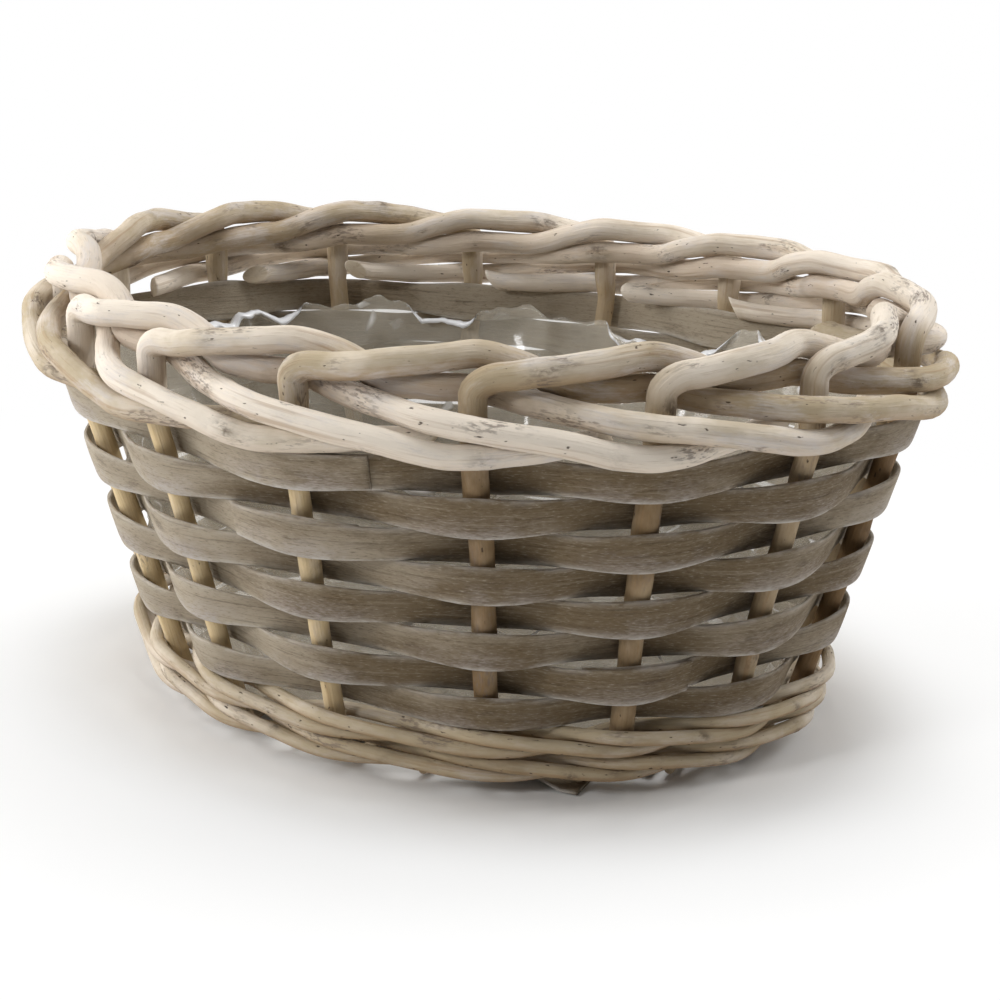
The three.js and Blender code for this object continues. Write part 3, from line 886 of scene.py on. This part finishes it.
def stake_line(weave, index):
    """Centre line of one stake: straight up the leaning wall, then through the border's table,
    straying a little as hand work does."""
    heights = [share * weave.wall_top for share in STAKE_POINT_SHARES]
    wall = np.array([[0.0, 0.0, height] for height in (weave.stake_floor, *heights, weave.wall_top)])
    border = BORDER_PATH.copy()
    border[:, 1] = BORDER_PATH[:, 1] * weave.border_unit
    border[:, 2] = weave.border_level + BORDER_PATH[:, 2] * weave.border_unit
    table = smooth_path(np.concatenate([wall, border]), 10)
    end = TAIL_AGE + TAIL_AGE_SPREAD * np.sin(2 * index)
    travelled, out, up = table[table[:, 0] <= end].T
    sizes = weave.sizes
    seed = 50 + 7 * index
    stray = sizes.rod_wander * np.clip(travelled / STRAY_START, 0, 1)
    stray_out = stray * soft_noise(travelled * STRAY_PITCH, seed)
    stray_up = stray * soft_noise(travelled * STRAY_PITCH, seed + 1)
    sway = STAKE_SWAY * soft_noise(up * SWAY_PITCH, seed + 2)
    place = weave.point(index + travelled + sway, out + stray_out, up + stray_up)
    spent = np.clip((travelled - 1) / (TAIL_AGE - 1), 0, 1)
    bent = sizes.border_rod_radius - (sizes.border_rod_radius - sizes.border_tip_radius) * spent
    bent = bent * BORDER_FULLNESS
    climb = np.clip(up / weave.wall_top, 0, 1)
    upright = sizes.stake_foot_radius + (sizes.stake_radius - sizes.stake_foot_radius) * climb
    upright = upright * STAKE_FULLNESS[index]
    turned = np.clip((up - weave.wall_top) / weave.border_unit, 0, 1)
    radii = np.where(travelled > 0, bent, upright + (bent - upright) * turned)
    return place, index + travelled, radii


class BASKET_OT_stakes(bpy.types.Operator):
    """Sixteen peeled rods that stand in the wall and are bent over into the border"""

    bl_idname = "basket.stakes"
    bl_label = "Stakes and border"

    def execute(self, context):
        weave = Weave(context.scene.basket_sizes)
        finish = finish_named("Peeled willow", rod_finish, context.scene.basket_colours, 0.6, 0.0)
        for index in range(STAKES):
            centre, stakes, radii = stake_line(weave, index)
            rings, layers = rod_shape(
                weave, centre, stakes, radii, 100 + 10 * index, sides=22, step=0.0015,
                knot_spacing=0.085, slants=(0.0, 1.1))
            run = layers["run"]
            border_share = np.clip((run - BORDER_START_SHARE) / BORDER_BLEND_SHARE, 0, 1)
            hidden = np.exp(-((run - HIDDEN_RUN_SHARE) / HIDDEN_SPREAD_SHARE) ** 2)
            # Brown that is partly the rods' own skin and partly painted shade: on the run hidden under
            # neighbouring rods, and on the stakes that lie in shade
            brown = HIDDEN_RUN_SHADE * hidden + STAKE_BROWN_AND_SHADE[index] * (1 - border_share)
            # Paleness below the border, partly painted light: lit stakes paler, shaded stakes darker
            low_paleness_and_light = STAKE_PALENESS_AND_LIGHT[index] * (1 - border_share)
            layers["paleness"] = ROD_PALENESS_AND_LIGHT[index] * border_share + low_paleness_and_light
            layers["washed"] = WALL_WASH + (1 - WALL_WASH) * border_share
            # Painted shade and brown skin on the undersides, made weaker on the paler stakes so that
            # their lit side looks flatter
            bare = np.clip(layers["paleness"], 0, 1)
            layers["under"] = np.maximum(underside(rings) * (1.1 - 0.6 * bare), brown)
            number = f"{index + 1:02d}"
            add_piece(
                f"willow_stake_{number}", rings, layers, finish,
                [f"stake_{number}"])
        return {"FINISHED"}


def splint_outline(height, thickness):
    """Outline of a flat splint with worn edges, as offsets outward and down, and how near each
    point is to an edge."""
    face = np.array([0.0, 0.18, 0.36, 0.54, 0.7, 0.84, 0.93, 0.98])
    side = np.array([1.0, 1.0, 1.0, 1.0, 1.0, 0.97, 0.8, 0.45])
    down = np.concatenate([-face[::-1], face[1:], face[::-1], -face[1:]])
    out = np.concatenate([side[::-1], side[1:], -side[::-1], -side[1:]])
    edge = np.abs(down) ** 6 * np.where(down > 0, 1.0, 0.5)
    return out * thickness / 2, down * height / 2, edge


def splint_shape(weave, course):
    """A flat splint that swings in front of one stake and behind the next on a cosine, and laps
    over its own start. Its height and level wander a little, and it cups slightly."""
    sizes = weave.sizes
    seed = 900 + 20 * course
    stake, onward = SPLINT_LAPS[course - 1]
    stakes = np.linspace(stake - LAP_START, stake + STAKES + LAP_END, SPLINT_STEPS)
    onto = np.clip((stakes - (stake + STAKES - LAP_CLIMB_BEFORE)) / LAP_CLIMB, 0, 1)
    lap = (sizes.splint_thickness + LAP_CLEARANCE) * onto * onto * (3 - 2 * onto)
    if onward < 0:
        stakes = (2 * stake - stakes + STAKES)[::-1]
        lap = lap[::-1]
    wave = np.cos(np.pi * (stakes + course))
    swing = -weave.splint_swing * wave
    top = weave.wall_top - (course - 1) * weave.course_pitch - sizes.weave_gap
    level = top - sizes.splint_height / 2
    level = level + SPLINT_LEVEL_WANDER * soft_noise(stakes / 5, seed)
    taller = SPLINT_HEIGHT_SHARE * soft_noise(stakes / 4, seed + 1)
    height = sizes.splint_height * (1 + taller)
    thicker = SPLINT_THICKNESS_SHARE * soft_noise(stakes / 2, seed + 2)
    thickness = sizes.splint_thickness * (1 + thicker)
    out, down, edge = splint_outline(1.0, 1.0)
    nicks = soft_noise(stakes[:, None] * 3 + np.sign(down) * 7, seed + 3, 7)
    ragged = 1 + SPLINT_RAGGED_SHARE * nicks * edge
    swell = sizes.splint_swell / 2 * wave ** 2
    inside = np.clip(wave, 0, 1) ** 2
    top_swell = swell if course > 1 else TOP_SWELL * inside
    swell_up = top_swell[:, None] * np.clip(-2 * down, 0, 1)
    swell_down = swell[:, None] * (course < COURSES) * np.clip(2 * down, 0, 1)
    drop = down * height[:, None] * ragged - swell_up + swell_down
    cup = SPLINT_CUP * soft_noise(stakes, seed + 4)[:, None] * (1 - (2 * down) ** 2)
    offset = (swing + lap)[:, None] + out * thickness[:, None] + cup
    rings = weave.point(stakes[:, None], offset, level[:, None] - drop)
    middle = weave.point(stakes, swing, level)
    run = run_along(middle)
    deep = np.repeat(out[None] * sizes.splint_thickness, len(run), 0)
    grain = np.stack([np.repeat(run[:, None], len(down), 1), drop, deep], -1)
    # Paleness round the wall, partly painted light: paler on the lit left, darker on the shaded right
    pale = np.interp(stakes % STAKES, np.arange(STAKES + 1), SPLINT_PALENESS_AND_LIGHT + SPLINT_PALENESS_AND_LIGHT[:1])
    pale = pale + COURSE_PALENESS * np.sin(course * COURSE_TURN)
    front = np.clip(-wave, 0, 1)[:, None]
    low = np.clip(BLOOM_MIDDLE + BLOOM_FALL * down, 0, 1)[None] * (out > 0)
    bloom = (BLOOM_LEAST + BLOOM_PALE * np.clip(pale, 0, 1))[:, None]
    layers = {
        "grain": grain + np.array([3.0 * course, 0.1 * course, 0.0]),
        "edge": np.repeat(edge[None], len(run), 0),
        "paleness": np.repeat(pale[:, None], len(down), 1),
        "haze": front * low * bloom,
    }
    return rings, layers


class BASKET_OT_wall_splints(bpy.types.Operator):
    """Eight flat splints woven round the wall, one to a course"""

    bl_idname = "basket.wall_splints"
    bl_label = "Wall splints"

    def execute(self, context):
        weave = Weave(context.scene.basket_sizes)
        finish = finish_named("Stained splint", splint_finish, context.scene.basket_colours)
        for course in range(1, COURSES + 1):
            rings, layers = splint_shape(weave, course)
            add_piece(
                f"grey_splint_{course}", rings, layers, finish,
                [f"wall_splint_{course}"])
        return {"FINISHED"}


def wale_line(weave, round_index, rod):
    """Centre line of one foot rod: in front of two stakes and behind one, stroke after stroke."""
    start = rod + round_index
    strokes = -(-(STAKES - rod) // WALE_STROKE_STAKES)
    sizes = weave.sizes
    middle = (
        weave.wale_floor + sizes.wale_rod_radius + weave.wale_pitch / 2
        + round_index * 2 * weave.wale_pitch)
    firsts = start + WALE_STROKE_STAKES * np.arange(strokes)
    table = np.tile(WALE_STROKE, (strokes, 1))
    table[:, 0] += np.repeat(firsts, len(WALE_STROKE))
    last = [[start + strokes * WALE_STROKE_STAKES, -1, 0]]
    table = np.concatenate([table, last])
    table[0, 0] += WALE_END_INSET
    table[-1, 0] -= WALE_END_INSET
    stakes, out, up = smooth_path(table, 6).T
    centre = weave.point(stakes, out * weave.wale_swing, middle + up * weave.wale_pitch)
    return centre, stakes


class BASKET_OT_foot_wale(bpy.types.Operator):
    """Six thin rods twined round the foot in two rounds"""

    bl_idname = "basket.foot_wale"
    bl_label = "Foot wale"

    def execute(self, context):
        weave = Weave(context.scene.basket_sizes)
        finish = finish_named("Thin willow", rod_finish, context.scene.basket_colours, 0.75, 0.02)
        for round_index in range(WALE_ROUNDS):
            for rod in range(WALE_RODS):
                centre, stakes = wale_line(weave, round_index, rod)
                radii = np.full(len(stakes), WALE_FULLNESS * weave.sizes.wale_rod_radius)
                seed = 400 + 30 * round_index + 10 * rod
                rings, layers = rod_shape(
                    weave, centre, stakes, radii, seed, sides=14, step=0.0018,
                    knot_spacing=0.11)
                # Painted shade with brown skin on the undersides
                layers["under"] = underside(rings)
                place = stakes[0] + layers["run"] * (stakes[-1] - stakes[0])
                swing = np.cos(np.pi * (place - FOOT_PALEST_STAKE) / FOOT_PALE_SPAN)
                paleness = FOOT_PALENESS + FOOT_PALENESS_STEP * rod
                layers["paleness"] = paleness + FOOT_PALENESS_SWING * swing
                layers["washed"] = level_layer(rings, FOOT_WASH)
                add_piece(
                    f"foot_rod_{round_index + 1}_{rod + 1}", rings, layers, finish,
                    [f"foot_wale_{round_index + 1}_{rod + 1}"])
        return {"FINISHED"}


def half_chord(distance, half_across, half_along, overhang):
    """Half the chord of an oval grown by an overhang, at a distance from its middle line."""
    share = distance / (half_across + overhang)
    return (half_along + overhang) * np.sqrt(1 - share * share)


def base_pitches(sizes):
    """Spacing of the base's sticks and of its strips."""
    sticks = 2 * sizes.foot_half_length * STICK_REACH_SHARE / (BASE_STICKS - 1)
    strips = 2 * sizes.foot_half_width * STRIP_REACH_SHARE / (BASE_STRIPS - 1)
    return sticks, strips


class BASKET_OT_base_sticks(bpy.types.Operator):
    """Nine round sticks that lie across the base"""

    bl_idname = "basket.base_sticks"
    bl_label = "Base sticks"

    def execute(self, context):
        sizes = context.scene.basket_sizes
        weave = Weave(sizes)
        finish = finish_named("Base willow", rod_finish, context.scene.basket_colours, 0.9, 0.03)
        pitch = base_pitches(sizes)[0]
        for index in range(BASE_STICKS):
            x = (index - (BASE_STICKS - 1) / 2) * pitch
            reach = half_chord(
                x, sizes.foot_half_length, sizes.foot_half_width, sizes.base_stick_overhang)
            y = np.linspace(-reach, reach, 90)
            centre = np.stack([x + 0 * y, y, weave.stick_level + 0 * y], -1)
            rings, layers = base_rod(weave, centre, sizes.base_stick_radius, 700 + 10 * index)
            # Painted shade with brown skin on the undersides
            layers["under"] = underside(rings)
            layers["paleness"] = level_layer(rings, BASE_STICK_PALENESS)
            layers["washed"] = level_layer(rings, BASE_WASH)
            add_piece(
                f"base_rod_{index + 1}", rings, layers, finish,
                [f"base_stick_{index + 1}"])
        return {"FINISHED"}


def base_rod(weave, centre, radius, seed):
    """A straight base stick, made as the other rods are."""
    stakes = np.zeros(len(centre))
    radii = np.full(len(centre), radius)
    return rod_shape(
        weave, centre, stakes, radii, seed, sides=14, step=0.002, knot_spacing=0.06)


def strip_shape(weave, index):
    """A base strip: level over or under each stick with a smooth step between, and square ends."""
    sizes = weave.sizes
    stick_pitch, strip_pitch = base_pitches(sizes)
    y = (index - (BASE_STRIPS - 1) / 2) * strip_pitch
    reach = half_chord(y, sizes.foot_half_width, sizes.foot_half_length, -sizes.base_strip_inset)
    slide = sizes.base_strip_slide if index % 2 == 0 else -sizes.base_strip_slide
    x = np.linspace(slide - reach, slide + reach, 160)
    last = np.floor((reach + np.sign(x) * slide) / stick_pitch)
    travelled = np.abs(x) / stick_pitch
    crossing = np.minimum(np.round(travelled), last)
    middle_stick = (BASE_STICKS - 1) // 2
    side = np.where((middle_stick + crossing + index) % 2 == 0, 1.0, -1.0)
    away = np.abs(travelled - crossing)
    fall = np.clip((away - STRIP_FLAT_SHARE) / (0.5 - STRIP_FLAT_SHARE), 0, 1)
    fall = np.where((travelled > last) & (side < 0), 0, fall)
    level = weave.stick_level + side * weave.strip_swing * (1 - fall)
    out, down, edge = splint_outline(sizes.base_strip_width, sizes.base_strip_thickness)
    seed = 1500 + 10 * index
    wide = 1 + 0.02 * soft_noise(x * 20, seed)[:, None]
    across = down[None] * wide
    corners = np.stack([
        np.repeat(x[:, None], len(down), 1), y - across, level[:, None] + out[None] + 0 * across], -1)
    grain = np.stack([corners[..., 0], across, np.repeat(out[None], len(x), 0)], -1)
    layers = {"grain": grain + index * 2.0, "edge": np.repeat(edge[None], len(x), 0)}
    return corners, layers


class BASKET_OT_base_strips(bpy.types.Operator):
    """Seven flat strips woven along the base, over and under its sticks"""

    bl_idname = "basket.base_strips"
    bl_label = "Base strips"

    def execute(self, context):
        weave = Weave(context.scene.basket_sizes)
        finish = finish_named("Stained splint", splint_finish, context.scene.basket_colours)
        for index in range(BASE_STRIPS):
            rings, layers = strip_shape(weave, index)
            layers["paleness"] = level_layer(rings, BASE_STRIP_PALENESS)
            layers["haze"] = level_layer(rings, 0)
            add_piece(
                f"base_splint_{index + 1}", rings, layers, finish,
                [f"base_strip_{index + 1}"])
        return {"FINISHED"}


def cell_distance(across, up, seeds, seed):
    """Distance of each point to the nearest of some scattered seeds, which gives sharp ridges
    halfway between them, as in crumpled film."""
    draw = np.random.default_rng(seed)
    places = draw.random((seeds, 2)) * [across.max(), up.max()]
    nearest = np.full(across.shape, 9.0)
    for place in places:
        gap = np.abs(across - place[0])
        gap = np.minimum(gap, across.max() - gap)
        nearest = np.minimum(nearest, np.hypot(gap, up - place[1]))
    return nearest


def film_shape(weave):
    """The film bag: a thin closed sheet that follows the wall inside, with folds and creases that
    grow towards its free edge, and lies flat on the base."""
    sizes = weave.sizes
    floor = weave.base_top + sizes.weave_gap
    foot_inset = weave.wale_swing + sizes.wale_rod_radius + sizes.film_clearance
    wall_inset = weave.splint_swing + sizes.splint_thickness / 2 + sizes.film_clearance
    top = weave.wall_top - sizes.film_below_wall
    corner = FILM_CORNER
    profile = np.array([
        [FILM_MIDDLE_INSET, floor], [foot_inset + corner + FILM_LEVEL_BAND, floor],
        [foot_inset + corner, floor], [foot_inset + corner * 0.3, floor + corner * 0.3],
        [foot_inset, floor + corner], [foot_inset, weave.wall_floor],
        [wall_inset, weave.wall_floor + weave.course_pitch],
        [wall_inset, (weave.wall_floor + top) / 2], [wall_inset, top]])
    run = run_along(profile)
    at = np.linspace(0, run[-1], FILM_ROWS)
    inset = np.interp(at, run, profile[:, 0])[:, None]
    height = np.interp(at, run, profile[:, 1])[:, None]
    stakes = np.linspace(0, STAKES, FILM_COLUMNS, endpoint=False)
    across = np.repeat((stakes * FILM_STAKE_WIDTH)[None], len(at), 0)
    up = np.repeat(at[:, None], len(stakes), 1)
    climb = np.clip((height - weave.wall_floor) / (top - weave.wall_floor), 0, 1)
    low = np.clip((height - floor) / FILM_CREASE_RISE, 0, 1)
    crumples = cell_distance(across, up, CRUMPLES, 5)
    small = cell_distance(across, up, SMALL_CRUMPLES, 6)
    crowding = FOLD_CROWDING * np.sin(stakes * FOLD_CROWDING_PITCH)
    folds = 0.5 + 0.5 * np.sin(2 * np.pi * (stakes * FOLDS_PER_STAKE + crowding))[None]
    sharp = folds ** 4
    inward = low * (FILM_THICKNESS + CRUMPLE_SHARE * crumples + SMALL_CRUMPLE_SHARE * small)
    inward = inward + climb ** 1.5 * FOLD_DEPTH * sharp
    waves = EDGE_WAVE * soft_noise(stakes * 0.9, 11) + EDGE_RIPPLE * soft_noise(stakes * 4, 12)
    lift = climb ** 3 * waves[None]
    for place, rise in FILM_PEAKS:
        hill = rise * np.exp(-(((stakes - place) / FILM_PEAK_WIDTH) ** 2))
        lift = lift + climb ** 3 * hill[None]
    lift = np.minimum(lift, sizes.film_below_wall - 2 * sizes.weave_gap)
    flap = np.zeros(len(stakes))
    for place, half_width, depth in FILM_FLAPS:
        away = np.abs((stakes - place + STAKES / 2) % STAKES - STAKES / 2) / half_width
        flap = np.maximum(flap, depth * np.clip(1.5 - 1.5 * away * away, 0, 1))
    flap = flap * (1 + FLAP_UNEVENNESS * soft_noise(stakes * 1.3, 13))
    past = np.clip(at[:, None] - run[-1] + flap, 0, None)
    turned = past / np.maximum(flap, FILM_FLAP_LEAST)
    bend = FLAP_TURN * turned
    inward = inward + past * bend / 2 * np.sinc(bend / (2 * np.pi)) ** 2
    lift = lift + past * (np.sinc(bend / np.pi) - 1)
    # Mask for the painted highlight on the folded-over edge
    fold = np.clip(2.5 * turned, 0, 1)
    outer = weave.point(stakes[None], -(inset + inward), height + lift)
    inner_height = height + lift + FILM_THICKNESS * (low == 0)
    inner = weave.point(stakes[None], -(inset + inward + FILM_THICKNESS), inner_height)
    rings = np.concatenate([outer, inner[::-1]])
    # Mask for painted highlight spots on the creases near the edge
    ridges = np.clip(1.5 * crumples / crumples.max(), 0, 1)
    crease = (0.6 * ridges + 0.5 * sharp) * climb ** 4
    grain = np.stack([across, up, 0 * up], -1)
    layers = {
        "grain": np.concatenate([grain, grain[::-1]]),
        "crease": np.concatenate([crease, crease[::-1]]),
        "fold": np.concatenate([fold, fold[::-1]]),
        "upright": np.repeat(np.concatenate([low, low[::-1]]), len(stakes), 1),
    }
    return rings, layers


class BASKET_OT_film_bag(bpy.types.Operator):
    """The film bag inside the basket"""

    bl_idname = "basket.film_bag"
    bl_label = "Film bag"

    def execute(self, context):
        weave = Weave(context.scene.basket_sizes)
        finish = finish_named("Clear film", film_finish, context.scene.basket_colours)
        rings, layers = film_shape(weave)
        bag = add_piece("film_bag", rings, layers, finish, ["film_liner"])
        return {"FINISHED"}


def add_lamp(name, place, size, power):
    """A square soft lamp that faces the basket's middle."""
    data = bpy.data.lights.new(name, "AREA")
    data.energy = power
    data.size = size
    lamp = bpy.data.objects.new(name, data)
    back = unit(np.array(place) - LAMP_TARGET)
    side = unit(np.cross([0, 0, 1], back) + [1e-6, 0, 0])
    up = np.cross(back, side)
    turn = np.stack([side, up, back, place], -1)
    lamp.matrix_world = Matrix([*turn.tolist(), [0, 0, 0, 1]])
    bpy.context.scene.collection.objects.link(lamp)


class BASKET_OT_stage(bpy.types.Operator):
    """The pale floor, the lamps, the sky and the camera"""

    bl_idname = "basket.stage"
    bl_label = "Stage"

    def execute(self, context):
        self.add_floor(context)
        for lamp in LAMPS:
            add_lamp(*lamp)
        self.add_sky(context)
        self.add_camera(context)
        return {"FINISHED"}

    def add_floor(self, context):
        """A level disc just under the basket: rings of even corners round one middle face."""
        turn = np.linspace(0, 2 * np.pi, FLOOR_SIDES, endpoint=False)
        circle = np.stack([np.cos(turn), np.sin(turn), 0 * turn], -1)
        corners = (np.array(FLOOR_RADII)[:, None, None] * circle).reshape(-1, 3)
        faces = ring_faces(len(FLOOR_RADII), FLOOR_SIDES)
        faces.append(list(range(len(corners) - FLOOR_SIDES, len(corners))))
        mesh = bpy.data.meshes.new("floor")
        mesh.from_pydata(corners.tolist(), [], faces)
        mesh.materials.append(
            finish_named("Backdrop", backdrop_finish, context.scene.basket_colours))
        floor = bpy.data.objects.new("floor", mesh)
        floor.location.z = -FLOOR_DROP
        context.scene.collection.objects.link(floor)

    def add_sky(self, context):
        """A plain sky that lights the basket and shows white behind it."""
        world = bpy.data.worlds.new("sky")
        context.scene.world = world
        world.use_nodes = True
        tree = world.node_tree
        lit = tree.nodes["Background"]
        lit.inputs["Color"].default_value = (1, 1, 1, 1)
        lit.inputs["Strength"].default_value = SKY_STRENGTH
        shown = tree.nodes.new("ShaderNodeBackground")
        shown.inputs["Color"].default_value = (1, 1, 1, 1)
        shown.inputs["Strength"].default_value = 1.0
        path = tree.nodes.new("ShaderNodeLightPath")
        blend = tree.nodes.new("ShaderNodeMixShader")
        tree.links.new(path.outputs["Is Camera Ray"], blend.inputs[0])
        tree.links.new(lit.outputs[0], blend.inputs[1])
        tree.links.new(shown.outputs[0], blend.inputs[2])
        tree.links.new(blend.outputs[0], tree.nodes["World Output"].inputs["Surface"])

    def add_camera(self, context):
        """The camera stands off the target along its view line, turned a little about it."""
        level = np.cos(CAMERA_ELEVATION)
        back = np.array([
            level * np.sin(CAMERA_AZIMUTH), -level * np.cos(CAMERA_AZIMUTH),
            np.sin(CAMERA_ELEVATION)])
        right = unit(np.cross(-back, [0, 0, 1]))
        up = np.cross(right, -back)
        across = right * np.cos(CAMERA_ROLL) + up * np.sin(CAMERA_ROLL)
        above = up * np.cos(CAMERA_ROLL) - right * np.sin(CAMERA_ROLL)
        data = bpy.data.cameras.new("camera")
        data.sensor_width = SENSOR_WIDTH
        data.lens = SENSOR_WIDTH * LENS_SHARE
        data.clip_start, data.clip_end = 0.01, 50
        camera = bpy.data.objects.new("camera", data)
        place = np.array(CAMERA_TARGET) + CAMERA_DISTANCE * back
        turn = np.stack([across, above, back, place], -1)
        camera.matrix_world = Matrix([*turn.tolist(), [0, 0, 0, 1]])
        context.scene.collection.objects.link(camera)
        context.scene.camera = camera
        context.scene.view_settings.view_transform = "Standard"


class BASKET_PT_panel(bpy.types.Panel):
    """Lists the basket's pieces in the sidebar"""

    bl_idname = "BASKET_PT_panel"
    bl_label = "Wicker basket"
    bl_space_type = "VIEW_3D"
    bl_region_type = "UI"
    bl_category = "Basket"

    def draw(self, context):
        for operator in OPERATORS:
            self.layout.operator(operator.bl_idname)
        for group in (context.scene.basket_sizes, context.scene.basket_colours):
            column = self.layout.column()
            for name in group.__annotations__:
                column.prop(group, name)


OPERATORS = (
    BASKET_OT_stakes,
    BASKET_OT_wall_splints,
    BASKET_OT_foot_wale,
    BASKET_OT_base_sticks,
    BASKET_OT_base_strips,
    BASKET_OT_film_bag,
    BASKET_OT_stage,
)
CLASSES = (BasketSizes, BasketColours, *OPERATORS, BASKET_PT_panel)


def register():
    """Adds the classes and the scene's settings to Blender."""
    for made in CLASSES:
        bpy.utils.register_class(made)
    bpy.types.Scene.basket_sizes = PointerProperty(type=BasketSizes)
    bpy.types.Scene.basket_colours = PointerProperty(type=BasketColours)


def unregister():
    """Takes them out again."""
    del bpy.types.Scene.basket_colours
    del bpy.types.Scene.basket_sizes
    for made in reversed(CLASSES):
        bpy.utils.unregister_class(made)


def main():
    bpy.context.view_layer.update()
    register()
    bpy.ops.basket.stakes()
    bpy.ops.basket.wall_splints()
    bpy.ops.basket.foot_wale()
    bpy.ops.basket.base_sticks()
    bpy.ops.basket.base_strips()
    bpy.ops.basket.film_bag()
    bpy.ops.basket.stage()


if __name__ == "__main__":
    main()
